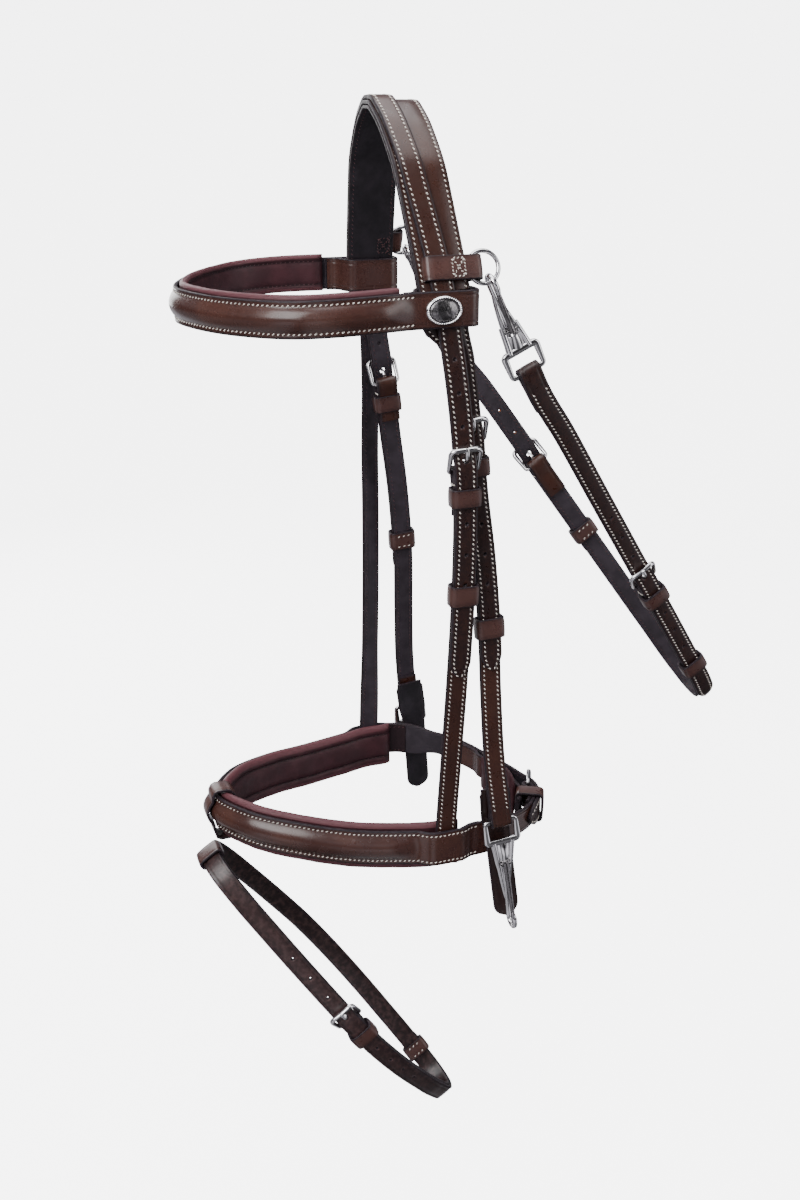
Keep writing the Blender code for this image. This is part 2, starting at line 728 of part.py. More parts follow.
def padding(name, route, places, half, thickness, gap, raise_at, above, below, finish):
    """A soft roll behind a band: its outer face follows the band's inner one, its inner face swells, and it
    stands proud of the band above and below."""
    first, last = places[0], places[-1]
    rings = []
    for s in places:
        frame = route.frame(s)
        ease = math.sqrt(max(0.0, 1.0 - (1.0 - min(min(s - first, last - s) / thickness, 1.0)) ** 2))
        full = thickness * (0.45 + 0.55 * ease)
        face = -STRAP_THICKNESS / 2 - gap
        ring = []
        for share in BAND_SHARES:
            height = share * half - (above if share == -1.0 else 0.0) + (below if share == 1.0 else 0.0)
            sink = 0.25 * thickness if abs(share) == 1.0 else 0.0
            ring.append(frame.place(0.0, height, face - sink + raise_at(s) * dome(share * half, half)))
        for share, depth in ((1.0, 0.72), (0.72, 1.0), (0.30, 1.12), (-0.30, 1.12), (-0.72, 1.0), (-1.0, 0.72)):
            edge = below if share > 0 else above
            height = share * half + math.copysign(edge, share) * (abs(share) > 0.5)
            ring.append(frame.place(0.0, height, face - depth * full + 0.5 * raise_at(s) * dome(height, half)))
        rings.append(ring)
    return loft(name, rings, finish)


def build_headpiece(leather, lining, soft, steel):
    arch = arch_route()
    half = CROWN_WIDTH / 2
    middle = arch.length / 2
    leg = [arch.frame(s) for s in arch.stations(CROWN_END, middle - POLL_SEAT_HALF)[:-1]]
    other_leg = [arch.frame(arch.length - s) for s in arch.stations(CROWN_END, middle - POLL_SEAT_HALF)[-2::-1]]
    seat = [arch.frame(middle).moved(along=step) for step in (-POLL_SEAT_HALF, POLL_SEAT_HALF)]
    frames = leg + seat + other_leg
    sheet("crown_lining", [row_at(frame, half, CROWN_LIFTS[0]) for frame in frames], LINING_THICKNESS, lining)
    sheet("crown_leather", [row_at(frame, half, CROWN_LIFTS[1]) for frame in frames], STRAP_THICKNESS, leather)
    rows = []
    for frame in frames:
        ahead = 0.0050 - 0.0090 * smoothstep(-frame.point[2], -LEG_DROP / 5, LEG_DROP)
        rows.append(row_at(frame.moved(across=ahead), STRAP_WIDTH / 2, CROWN_LIFTS[2]))
    sheet("sliphead_strap", rows, STRAP_THICKNESS, leather)
    for word, side in NEAR_AND_FAR:
        build_ring(word, ring_frame(arch, side), leather, steel)
    build_browband(leather, soft, steel)
    return arch


def ring_frame(arch, side):
    """The frame on a crown leg where the ring hangs: it runs down, and its way across points to the rear."""
    found = arch.frame(arch.nearest((side * LEG_HALF * 0.925, 0.0, -RING_DROP)))
    down = -math.copysign(1.0, found.run[2]) * found.run
    level = unit((down[0], 0.0, down[2]))
    return Frame(found.point, level, np.array([0.0, 1.0, 0.0]), unit((found.outward[0], 0.0, found.outward[2])))


def ring_height():
    """How far the ring's wire stands over the crown's underside, clear of the crown's face."""
    return CROWN_LIFTS[1] + STRAP_THICKNESS / 2 + EASE + RING_WIRE


def ring_wire_reach():
    """How far behind the leg's middle the ring's front wire lies."""
    return CROWN_WIDTH / 2 - GAP


def ring_centre(frame):
    return frame.place(0.0, ring_wire_reach() + RING_RADIUS, ring_height())


def build_ring(word, frame, leather, steel):
    """The leather band round the crown's leg, and the ring that its rear fold holds."""
    rear = CROWN_WIDTH / 2 + GAP + 2 * EASE
    top = max(CROWN_LIFTS[2] + STRAP_THICKNESS / 2, ring_height() + RING_WIRE) + EASE
    rear_fold = ring_wire_reach() + RING_WIRE + RING_FOLD
    under = ring_height() - RING_WIRE - EASE
    low = -2 * EASE
    outline = [(-rear, top - 0.0020), (-rear, 0.0010 + low), (0.0010 - rear, low), (rear - 0.0010, low),
               (rear, 0.0010 + low), (rear, under - 0.0008), (rear + 0.0010, under),
               (rear_fold - 0.0016, under), (rear_fold, (under + top) / 2), (rear_fold - 0.0016, top),
               (0.0015 - rear, top)]
    half = RING_KEEPER_LENGTH / 2
    rows = [(frame.place(-half, a, h), frame.place(half, a, h)) for a, h in outline]
    if np.dot(np.cross(frame.run, frame.across), frame.outward) < 0:
        rows = rows[::-1]
    sheet("ring_keeper_" + word, rows, KEEPER_THICKNESS, leather, offset=1.0, closed=True)
    centre = ring_centre(frame)
    points = []
    for k in range(18):
        angle = 2 * math.pi * k / 18
        points.append(centre + RING_RADIUS * (math.cos(angle) * frame.run + math.sin(angle) * frame.across))
    wire("ring_" + word, points, RING_WIRE, steel, cyclic=True)
    pivot(f"ring_{word}_axis", frame.place(0.0, ring_wire_reach(), ring_height()), "ring_" + word)


def build_browband(leather, soft, steel):
    route = browband_route()
    front = route.nearest((BROWBAND_HALF, -0.060, BROWBAND_LEVEL))
    loop_end = route.nearest((BROWBAND_HALF - 0.004, -0.024, BROWBAND_LEVEL))
    half = BROWBAND_HEIGHT / 2
    raises = raised(1.0, front, route.length - front)
    rows = band_rows(route, route.stations(0.0, route.length), lambda s: half, flat,
                     lambda s: BROWBAND_RAISE * raises(s))
    sheet("browband_leather", rows, STRAP_THICKNESS, leather)
    padding("browband_padding", route, route.stations(loop_end, route.length - loop_end), half,
            BROWBAND_PAD_THICKNESS, 2 * EASE, lambda s: 0.8 * BROWBAND_RAISE * raises(s), BROWBAND_PAD_ABOVE,
            BROWBAND_PAD_BELOW, soft)
    for word, side in NEAR_AND_FAR:
        frame = route.frame(route.nearest((side * (LEG_HALF + 0.0135), 0.004, BROWBAND_LEVEL)))
        place = frame.matrix(0.0, 0.0, (STRAP_THICKNESS + ROSETTE_THICKNESS) / 2 + GAP)
        oval = Matrix.Diagonal((1.0, ROSETTE_HALF_HEIGHT / ROSETTE_HALF_WIDTH, 1.0, 1.0))
        bm = bmesh.new()
        bmesh.ops.create_cone(bm, cap_ends=True, segments=20, radius1=ROSETTE_HALF_WIDTH,
                              radius2=0.85 * ROSETTE_HALF_WIDTH, depth=ROSETTE_THICKNESS, matrix=place @ oval)
        data = bpy.data.meshes.new("rosette_" + word)
        bm.to_mesh(data)
        bm.free()
        add("rosette_" + word, data, steel)


def build_hangers(leather, steel):
    """The noseband's hanging straps: a billet and a buckled strap on the near side, one strap on the far."""
    route = hanger_route(1.0)
    heel = HANGER_HEEL
    lift = billet_lift(heel)
    billet = strap("hanger_billet", route, 0.0, heel + HANGER_TAIL, leather, lift, tip=True)
    punch(billet, route, heel, lift, range(-3, 5))
    lower = strap("hanger_near_strap", route, heel, route.length, leather, fold_at_start=BAR_RADIUS)
    sew_keeper(lower, route, heel + FIXED_KEEPER)
    slot(lower, route.frame(heel))
    buckle("hanger_buckle", route.frame(heel), steel)
    runner("hanger_runner", route, heel + HANGER_RUNNER, leather, length=0.015)
    far = hanger_route(-1.0)
    rows = []
    for s in far.stations(0.0, far.length):
        share = smoothstep(s, 0.03, 0.10) * smoothstep(far.length - s, 0.03, 0.10)
        rows.append(row_at(far.frame(s).turned(-FAR_HANGER_TURN * share), STRAP_WIDTH / 2, 0.0))
    sheet("hanger_far_strap", rows, STRAP_THICKNESS, leather)


def build_cheek(word, side, leather, steel):
    route = cheek_route(side)
    heel = CHEEK_HEEL - (FAR_CHEEK_RISE if side < 0 else 0.0)
    lift = billet_lift(heel)
    end = heel + CHEEK_TAIL
    crown_front, crown_rear = CROWN_END_Y - CROWN_WIDTH / 2 + GAP, CROWN_END_Y + CROWN_WIDTH / 2 - 0.0025
    rows = []
    for s in [*spread(0.004, 0.040, 0.006), *lift_stations(route, 0.050, end - TIP_LENGTH, lift)]:
        frame = route.frame(s)
        share = 1.0 - smoothstep(s, 0.006, 0.036)
        front = (crown_front - frame.point[1]) * share - STRAP_WIDTH / 2 * (1.0 - share)
        rear = (crown_rear - frame.point[1]) * share + STRAP_WIDTH / 2 * (1.0 - share)
        middle = math.copysign((front + rear) / 2, (front + rear) * frame.across[1])
        rows.append(row_at(frame.moved(across=middle), (rear - front) / 2, lift(s)))
    rows += tip_rows(route, end, STRAP_WIDTH / 2, lift)
    billet = sheet("cheek_billet_" + word, rows, STRAP_THICKNESS, leather)
    punch(billet, route, heel, lift, range(-1, 6))
    lower = strap("cheek_strap_" + word, route, heel, route.length, leather, fold_at_start=BAR_RADIUS,
                  fold_at_end=EYE_WIRE)
    sew_keeper(lower, route, heel + FIXED_KEEPER)
    slot(lower, route.frame(heel))
    buckle("cheek_buckle_" + word, route.frame(heel), steel)
    runner("cheek_runner_" + word, route, heel + CHEEK_RUNNER, leather, length=0.015)
    eye = bit_snap_frame(route)
    snap("bit_snap_" + word, eye, BIT_SNAP_REACH, steel)
    build_guard("guard_" + word, route, leather)
    pivot(f"bit_snap_{word}_axis", eye.point, f"bit_snap_{word}_body", f"bit_snap_{word}_gate_axis")
    pivot(f"cheek_{word}_axis", (side * LEG_HALF, CROWN_END_Y, BROWBAND_LEVEL), "cheek_billet_" + word,
          "cheek_strap_" + word, f"cheek_buckle_{word}_frame", f"cheek_buckle_{word}_tongue_axis",
          f"cheek_runner_{word}_axis", "guard_" + word, f"bit_snap_{word}_axis")


def bit_snap_frame(route):
    return route.frame(route.length).moved(out=-fold_radius(EYE_WIRE))


def build_guard(name, route, leather):
    """The leather tongue that keeps the snap off the horse's cheek."""
    close = -2 * LAP - 0.0012
    clear = -fold_radius(EYE_WIRE) - HOOK_RADIUS - HOOK_WIRE - GUARD_THICKNESS / 2 - EASE
    half = GUARD_WIDTH / 2
    rows = []
    for along in spread(-GUARD_TOP, GUARD_LENGTH - half, 0.0085):
        frame = route.frame(route.length + min(along, 0.0)).moved(along=max(along, 0.0))
        shoulder = half + 0.0020 * (1.0 - smoothstep(along, -0.004, 0.012))
        rows.append(row_at(frame, shoulder, close + (clear - close) * smoothstep(along, -GUARD_TOP, 0.010)))
    last = route.frame(route.length)
    for share in (0.4, 0.75, 0.95):
        frame = last.moved(along=GUARD_LENGTH - half * (1.0 - share))
        rows.append(row_at(frame, half * math.sqrt(1.0 - share**2), clear))
    sheet(name, rows, GUARD_THICKNESS, leather)


def throat_run():
    """The way up a throatlatch snap, seen from the side."""
    return np.array([0.0, -math.sin(THROAT_HANG), math.cos(THROAT_HANG)])


def throat_hook(arch, side):
    """Where the throatlatch's hook hangs on the ring's wire."""
    frame = ring_frame(arch, side)
    hang = frame.run * math.cos(THROAT_HANG) + frame.across * math.sin(THROAT_HANG)
    return ring_centre(frame) + hang * RING_RADIUS


def throat_snap_frame(arch, side):
    """The frame of a throatlatch snap: at its eye's outer bar, running up to the hook in the ring."""
    outward = side * X_AXIS
    length = EYE_LENGTH + THROAT_SNAP_REACH - 2 * HOOK_WIRE - RING_WIRE - HOOK_PLAY
    return Frame(throat_hook(arch, side) - throat_run() * length, throat_run(),
                 np.cross(outward, throat_run()), outward)


def throat_route(arch):
    """The throatlatch's middle line from the near snap's eye, round under the throat, to the far one."""
    start = throat_snap_frame(arch, 1.0)
    top = start.point + start.outward * fold_radius(EYE_WIRE)
    shape = ((0.865, 0.158), (0.706, 0.347), (0.518, 0.584), (0.335, 0.809), (0.200, 0.950), (0.100, 0.990))
    near = [top, top - throat_run() * THROAT_LEAD]
    near += [(top[0] * x, top[1] + THROAT_SLOPE * THROAT_DROP * z, top[2] - THROAT_DROP * z) for x, z in shape]
    line = near + [(0.0, top[1] + THROAT_SLOPE * THROAT_DROP, top[2] - THROAT_DROP)]
    line += [(-x, y, z) for x, y, z in near[::-1]]
    return Route(line, across=unit((0.0, 1.0, THROAT_SLOPE)))


def build_throatlatch(arch, leather, steel):
    route = throat_route(arch)
    back = route.reversed()
    far_heel = route.length - THROAT_FAR_HEEL
    for word, side in NEAR_AND_FAR:
        snap("throat_snap_" + word, throat_snap_frame(arch, side), THROAT_SNAP_REACH, steel)
    centre = strap("throat_strap", route, THROAT_NEAR_HEEL, far_heel, leather, fold_at_start=BAR_RADIUS,
                   fold_at_end=BAR_RADIUS)
    sew_keeper(centre, route, THROAT_NEAR_HEEL + FIXED_KEEPER)
    slot(centre, route.frame(THROAT_NEAR_HEEL))
    slot(centre, route.frame(far_heel), 1.0)
    sides = (("near", route, THROAT_NEAR_HEEL, THROAT_NEAR_TAIL, THROAT_NEAR_RUNNER, range(-3, 5)),
             ("far", back, THROAT_FAR_HEEL, THROAT_FAR_TAIL, THROAT_FAR_KEEPER, range(-2, 4)))
    for word, path, heel, tail, keeper_at, holes in sides:
        lift = billet_lift(heel)
        billet = strap("throat_billet_" + word, path, 0.0, heel + tail, leather, lift,
                       fold_at_start=EYE_WIRE, tip=True)
        punch(billet, path, heel, lift, holes)
        buckle("throat_buckle_" + word, path.frame(heel), steel)
        runner("throat_runner_" + word, path, heel + keeper_at, leather)
    carried = ["throat_strap"]
    for word in ("near", "far"):
        carried += [f"throat_snap_{word}_body", f"throat_snap_{word}_gate_axis", "throat_billet_" + word,
                    f"throat_buckle_{word}_frame", f"throat_buckle_{word}_tongue_axis",
                    f"throat_runner_{word}_axis"]
    pivot("throatlatch_axis", throat_hook(arch, 1.0) * (0.0, 1.0, 1.0), *carried)


def link(name, frame, finish):
    """A square link: its outer bar lies in the fold at the frame, and it reaches on along the route."""
    outline = rounded(CRANK_WIDTH / 2 + EASE + 1.2 * EYE_WIRE, 0.0, LINK_LENGTH, 1.5 * EYE_WIRE)
    low = -fold_radius(EYE_WIRE)
    wire(name, [frame.place(v, a, low) for a, v in outline], EYE_WIRE, finish, cyclic=True)


def build_noseband(leather, soft, steel):
    route = noseband_route()
    half = NOSEBAND_HEIGHT / 2
    pad_ends = [route.nearest((side * NOSE_HALF, 0.024, NOSEBAND_LEVEL)) for side in (1.0, -1.0)]
    hangers = [route.nearest((side * NOSE_HALF, HANGER_END - ahead, NOSEBAND_LEVEL))
               for side, ahead in ((1.0, 0.0), (-1.0, FAR_HANGER_AHEAD))]
    raises = raised(1.0, pad_ends[0] + 0.055, pad_ends[1] - 0.055)

    def half_at(s):
        inside = smoothstep(s, pad_ends[0] - 0.045, pad_ends[0] - 0.020)
        inside *= smoothstep(-s, -pad_ends[1] - 0.045, -pad_ends[1] - 0.020)
        return CRANK_WIDTH / 2 + (half - CRANK_WIDTH / 2) * inside

    def lift_at(s):
        away = min(abs(s - place) for place in hangers)
        return ROOM * (1.0 - smoothstep(away, 0.010, 0.022))

    places = lift_stations(route, CRANK_HEEL, route.length, lift_at)
    rows = tab_rows(route, CRANK_HEEL, BAR_RADIUS, CRANK_WIDTH / 2, -1.0, TAB_LENGTH, None, BAND_SHARES)[::-1]
    rows += fold_rows(route.frame(CRANK_HEEL), BAR_RADIUS, CRANK_WIDTH / 2, -1.0, BAND_SHARES)[::-1]
    rows += band_rows(route, places, half_at, lift_at, lambda s: NOSEBAND_RAISE * raises(s))
    rows += fold_rows(route.frame(route.length), EYE_WIRE, CRANK_WIDTH / 2, 1.0, BAND_SHARES)
    rows += tab_rows(route, route.length, EYE_WIRE, CRANK_WIDTH / 2, 1.0, TAB_LENGTH, None, BAND_SHARES)
    made = sheet("noseband_leather", rows, STRAP_THICKNESS, leather)
    slot(made, route.frame(CRANK_HEEL))
    padding("noseband_padding", route, route.stations(*pad_ends), half, NOSEBAND_PAD_THICKNESS, 2 * EASE,
            lambda s: 0.7 * NOSEBAND_RAISE * raises(s), NOSEBAND_PAD_ABOVE, NOSEBAND_PAD_BELOW, soft)
    build_crank(route, leather, soft, steel)
    build_flash_keeper(route, leather)


def build_crank(route, leather, soft, steel):
    """The chin strap: from under the near side through the link and back to the buckle."""
    link("crank_link", route.frame(route.length), steel)
    heel = CRANK_HEEL
    lift = billet_lift(heel)
    shallow, deep = -2 * fold_radius(EYE_WIRE), -2 * fold_radius(BAR_RADIUS) - LAP - 2 * EASE

    def under(s):
        return shallow + (deep - shallow) * smoothstep(s, 0.016, heel - BUCKLE_LENGTH)

    made = strap("crank_strap", route, LINK_LENGTH, heel + CRANK_TAIL, leather, lift, width=CRANK_WIDTH,
                 fold_at_start=EYE_WIRE, tip=True, tab=CRANK_UNDER - LINK_LENGTH, under=under)
    punch(made, route, heel, lift, (0,))
    buckle("crank_buckle", route.frame(heel), steel, CRANK_WIDTH)
    low, high = deep - STRAP_THICKNESS / 2 - EASE, LAP + STRAP_THICKNESS / 2 + EASE
    outline = rounded(CRANK_WIDTH / 2 + EASE, low, high, 0.0012)
    rows = keeper_rows(route, heel + FIXED_KEEPER, outline, KEEPER_LENGTH, True)
    sheet("crank_keeper", rows, KEEPER_THICKNESS, leather, offset=1.0, closed=True)
    rings = []
    for s in spread(CHIN_PAD_START, CHIN_PAD_END, 0.011):
        frame = route.frame(s)
        inner = under(s) - STRAP_THICKNESS / 2
        share = abs(2 * (s - CHIN_PAD_START) / (CHIN_PAD_END - CHIN_PAD_START) - 1.0)
        swell = math.sqrt(1.0 - 0.75 * share**2)
        ring = []
        for k in range(10):
            angle = 2 * math.pi * k / 10
            depth = CHIN_PAD_THICKNESS / 2 * swell
            ring.append(frame.place(0.0, CHIN_PAD_HEIGHT / 2 * swell * math.cos(angle),
                                    inner - EASE - CHIN_PAD_THICKNESS / 2 + depth * math.sin(angle)))
        rings.append(ring)
    loft("chin_pad", rings, soft, rounds=1)


def build_flash_keeper(route, leather):
    """The upright loop round the front of the noseband, which carries the flash strap's loop."""
    half = NOSEBAND_HEIGHT / 2
    out = STRAP_THICKNESS / 2 + 2 * EASE
    back = -STRAP_THICKNESS / 2 - 2 * EASE - 1.12 * NOSEBAND_PAD_THICKNESS - EASE - 0.0010
    low, high = -half - NOSEBAND_PAD_ABOVE - EASE, half + NOSEBAND_PAD_BELOW + EASE
    outline = [(high, back + 0.004), (high, out - 0.002)]
    outline += [(share * half, out + NOSEBAND_RAISE * dome(share * half, half)) for share in BAND_SHARES[::-1]]
    outline += [(low, out - 0.002), (low, back + 0.004), (-half, back), (half, back)]
    middle = route.nearest((0.0, -NOSE_REACH, NOSEBAND_LEVEL))
    rows = keeper_rows(route, middle, outline, FLASH_LOOP_LENGTH, True)
    sheet("flash_carrier", rows, KEEPER_THICKNESS, leather, offset=1.0, closed=True)


def build_flash(leather, steel):
    route = flash_route()
    heel = FLASH_HEEL
    again = route.nearest(route.point(heel), after=route.length / 3)
    front = route.nearest((0.0, -NOSE_REACH - FLASH_AHEAD, NOSEBAND_LEVEL - FLASH_BELOW))
    lift = billet_lift(again)
    made = strap("flash_strap", route, heel, heel + FLASH_TAIL + again, leather, lift,
                 fold_at_start=BAR_RADIUS, tip=True)
    sew_keeper(made, route, heel + FIXED_KEEPER)
    punch(made, route, again, lift, range(-2, 6))
    slot(made, route.frame(heel))
    buckle("flash_buckle", route.frame(heel), steel)
    runner("flash_runner", route, heel + FLASH_RUNNER, leather)
    high = STRAP_THICKNESS / 2 + EASE + GAP
    rows = keeper_rows(route, front, rounded(STRAP_WIDTH / 2 + EASE, -high, high, 0.0012), FLASH_LOOP_LENGTH, True)
    sheet("flash_loop", rows, KEEPER_THICKNESS, leather, offset=1.0, closed=True)
    corner = (0.0, -NOSE_REACH - FLASH_AHEAD / 2, NOSEBAND_LEVEL - FLASH_BELOW + STRAP_WIDTH / 2)
    pivot("flash_axis", corner, "flash_strap", "flash_loop", "flash_buckle_frame", "flash_buckle_tongue_axis",
          "flash_runner_axis")


def main():
    for old in list(bpy.data.objects):
        bpy.data.objects.remove(old)
    for name in ("bridle", "cutters"):
        bpy.context.scene.collection.children.link(bpy.data.collections.new(name))
    leather = material("leather", (0.056, 0.022, 0.015), 0.38)
    lining = material("lining", (0.012, 0.009, 0.010), 0.60)
    soft = material("padding", (0.085, 0.026, 0.034), 0.62)
    steel = material("polished_steel", (0.78, 0.77, 0.76), 0.14, 1.0)
    arch = build_headpiece(leather, lining, soft, steel)
    build_hangers(leather, steel)
    for word, side in NEAR_AND_FAR:
        build_cheek(word, side, leather, steel)
    build_throatlatch(arch, leather, steel)
    build_noseband(leather, soft, steel)
    build_flash(leather, steel)
    pivot("noseband_axis", (0.0, CROWN_END_Y, BROWBAND_LEVEL), "noseband_leather", "noseband_padding",
          "hanger_billet", "hanger_near_strap", "hanger_far_strap", "hanger_buckle_frame",
          "hanger_buckle_tongue_axis", "hanger_runner_axis", "crank_link", "crank_strap", "crank_buckle_frame",
          "crank_buckle_tongue_axis", "crank_keeper", "chin_pad", "flash_carrier", "flash_axis")


main()
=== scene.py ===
"""A padded bridle with a crank and flash noseband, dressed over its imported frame. Metres, +Z up.

The horse faces -Y and its near side is +X. The crown rests on the poll at the origin.
"""

import logging
from collections.abc import Callable, Sequence
from dataclasses import dataclass, field
from enum import Enum
from math import ceil, copysign, cos, exp, pi, radians, sin, sqrt

import bmesh
import bpy
import numpy as np
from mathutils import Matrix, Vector, noise


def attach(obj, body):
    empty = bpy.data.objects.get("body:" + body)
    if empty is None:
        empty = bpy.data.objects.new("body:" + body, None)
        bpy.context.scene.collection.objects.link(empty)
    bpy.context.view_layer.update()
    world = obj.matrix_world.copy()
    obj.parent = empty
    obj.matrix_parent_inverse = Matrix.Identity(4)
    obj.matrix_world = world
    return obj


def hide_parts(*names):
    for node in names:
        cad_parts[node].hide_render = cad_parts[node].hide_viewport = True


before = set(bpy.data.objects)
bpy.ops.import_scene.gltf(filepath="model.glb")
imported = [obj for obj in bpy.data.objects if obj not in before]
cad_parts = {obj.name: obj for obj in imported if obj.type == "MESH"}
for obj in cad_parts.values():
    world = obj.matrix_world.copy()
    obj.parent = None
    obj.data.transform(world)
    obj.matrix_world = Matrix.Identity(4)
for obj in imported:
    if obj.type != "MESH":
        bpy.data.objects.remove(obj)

LOG = logging.getLogger("bridle")
Array = np.ndarray
Material, Piece = bpy.types.Material, bpy.types.Object
Node, Socket = bpy.types.Node, bpy.types.NodeSocket
Measure, Pair = Callable[[float], float], tuple[float, float]
DOWN = np.array([0.0, 0.0, -1.0])


class Side(Enum):
    """The horse's two sides. The near one is its left."""

    NEAR = 1.0
    FAR = -1.0

    @property
    def word(self) -> str:
        """The side's name as the pieces carry it."""
        return self.name.lower()


class Zone(Enum):
    """The surfaces of a strap, each with a finish of its own."""

    FACE = 0
    EDGE = 1
    BACK = 2


class Sharp(Enum):
    """The angle in degrees past which a piece's edges stay sharp."""

    PAPER = 30.0
    METAL = 38.0
    STRAP = 50.0
    PADDING = 75.0
    THREAD = 80.0


@dataclass(frozen=True)
class Stock:
    """Sizes that the straps and the hardware share."""

    gap: float = 0.0004
    ease: float = 0.0006
    width: float = 0.016
    thickness: float = 0.0028
    crown_width: float = 0.035
    lining: float = 0.0025
    hole_pitch: float = 0.022
    hole_radius: float = 0.00135
    hole_reach: float = 0.0091
    bar: float = 0.0014
    eye_wire: float = 0.0016
    buckle_length: float = 0.0165
    buckle_rise: float = 0.0042
    keeper: float = 0.0019
    keeper_at: float = 0.0165
    keeper_length: float = 0.013
    broad_keeper: float = 0.015
    tie_at: float = 0.0075
    tie_wire: float = 0.00048
    plain_tip: float = 0.0006
    tip: float = 0.0135

    @property
    def lap(self) -> float:
        """How far one strap lies above another."""
        return self.thickness + self.gap

    def fold(self, bar: float) -> float:
        """The radius of a strap's middle round a bar."""
        return self.thickness / 2 + self.gap + bar


STOCK = Stock()


def unit(vector: Sequence[float]) -> Array:
    """The vector at length one."""
    return np.asarray(vector, float) / max(float(np.linalg.norm(vector)), 1e-12)


def ease(value: float, low: float, high: float) -> float:
    """Rises smoothly from 0 at low to 1 at high."""
    share = min(max((value - low) / (high - low), 0.0), 1.0)
    return share * share * (3.0 - 2.0 * share)


def level(_: float) -> float:
    """No lift anywhere."""
    return 0.0


def full_turn(count: int) -> Array:
    """Angles evenly set round a full turn."""
    return np.linspace(0.0, 2 * pi, count + 1)[:-1]


def lengths(points: Array) -> Array:
    """The length along a line at each of its points."""
    return np.concatenate([[0.0], np.cumsum(np.linalg.norm(np.diff(points, axis=0), axis=1))])


def between(at: float, along: Array, points: Array) -> Array:
    """A line's point at a length along it."""
    return np.array([np.interp(at, along, points[:, k]) for k in range(3)])


def headings(points: Array, closed: bool) -> Array:
    """The way that a line runs at each of its points."""
    if closed:
        return np.roll(points, -1, axis=0) - np.roll(points, 1, axis=0)
    return np.gradient(points, axis=0)


def rounded(half: float, length: float, corner: float) -> list[Pair]:
    """A frame's outline with round corners.

    Args:
        half: Half its width.
        length: Its length, from 0.
        corner: Its corners' radius.

    Returns:
        Its points, across and along.
    """
    outline = []
    for turn, (x, y) in enumerate(((half, length), (-half, length), (-half, 0.0), (half, 0.0))):
        cx, cy = x - copysign(corner, x), y + (corner if y == 0.0 else -corner)
        for k in range(6):
            angle = radians(90 * turn + 18 * k)
            outline.append((cx + corner * cos(angle), cy + corner * sin(angle)))
    return outline


def add_object(name: str, data: bpy.types.ID) -> Piece:
    """Puts a mesh, a light or a camera in the scene."""
    made = bpy.data.objects.new(name, data)
    bpy.context.scene.collection.objects.link(made)
    return made


@dataclass(frozen=True)
class Place:
    """A place on a strap: its point, the way it runs, the way across it and the way out of its face."""

    point: Array
    run: Array
    across: Array
    outward: Array

    def at(self, along: float, across: float, out: float) -> Array:
        """The point that lies so far along, across and out of this place."""
        return self.point + self.run * along + self.across * across + self.outward * out

    def moved(self, along: float = 0.0, across: float = 0.0, out: float = 0.0) -> "Place":
        """The same directions at another point."""
        return Place(self.at(along, across, out), self.run, self.across, self.outward)

    def oval(self, wide: float, tall: float, out: float, count: int) -> list[Array]:
        """Points evenly set round an oval over this place."""
        return [self.at(wide * cos(t), tall * sin(t), out) for t in full_turn(count)]

    def turned(self, angle: float) -> "Place":
        """The same place turned about the strap's own length."""
        across = self.across * cos(angle) + self.outward * sin(angle)
        outward = self.outward * cos(angle) - self.across * sin(angle)
        return Place(self.point, self.run, across, outward)


class Route:
    """The smooth middle line of a strap, measured along it from its first point."""

    step = 0.001

    def __init__(self, knots: Sequence, outward: Array | None = None, across: Array | None = None) -> None:
        """Lays the line.

        Args:
            knots: Points that the line passes through.
            outward: The way out of the strap's face, where that is what stays put.
            across: The way across the strap, where that is what stays put.
        """
        self.outward, self.across = outward, across
        self.take(self.smooth(np.array(knots, float)))

    def smooth(self, knots: Array) -> Array:
        """Points one step apart on a smooth curve through the knots.

        Args:
            knots: The points to pass through.

        Returns:
            The curve's points.
        """
        chord = lengths(knots)
        slopes = np.gradient(knots, chord, axis=0)
        at = np.linspace(0.0, chord[-1], max(2, int(chord[-1] / self.step)))
        i = np.clip(np.searchsorted(chord, at) - 1, 0, len(knots) - 2)
        span = (chord[i + 1] - chord[i])[:, None]
        t = (at - chord[i])[:, None] / span
        return (
            (2 * t**3 - 3 * t**2 + 1) * knots[i] + (t**3 - 2 * t**2 + t) * span * slopes[i]
            + (3 * t**2 - 2 * t**3) * knots[i + 1] + (t**3 - t**2) * span * slopes[i + 1])

    def take(self, points: Array) -> None:
        """Holds the line's points and their lengths along it."""
        self.points, self.along = points, lengths(points)
        self.length = float(self.along[-1])

    def point(self, s: float) -> Array:
        """The point at a length along the line, or on past its straight ends."""
        found = between(min(max(s, 0.0), self.length), self.along, self.points)
        if s < 0.0:
            found += unit(self.points[1] - self.points[0]) * s
        if s > self.length:
            found += unit(self.points[-1] - self.points[-2]) * (s - self.length)
        return found

    def place(self, s: float) -> Place:
        """The place at a length along the line."""
        run = unit(self.point(s + self.step) - self.point(s - self.step))
        if self.outward is not None:
            across = unit(np.cross(self.outward, run))
            return Place(self.point(s), run, across, np.cross(run, across))
        outward = unit(np.cross(run, self.across))
        return Place(self.point(s), run, np.cross(outward, run), outward)

    def nearest(self, point: Sequence[float], after: float = 0.0) -> float:
        """The length along the line where it passes nearest to a point."""
        away = np.linalg.norm(self.points - np.asarray(point), axis=1)
        away[self.along < after] = np.inf
        return float(self.along[away.argmin()])

    def spots(self, start: float, end: float, gap: float = 0.0032) -> list[float]:
        """Lengths along the line, evenly set from start to end."""
        return list(np.linspace(start, end, max(2, ceil(abs(end - start) / gap) + 1)))

    def reversed(self) -> "Route":
        """The same line from its other end, facing the same way."""
        made = Route(self.points[:2], self.outward, None if self.across is None else -self.across)
        made.take(self.points[::-1])
        return made


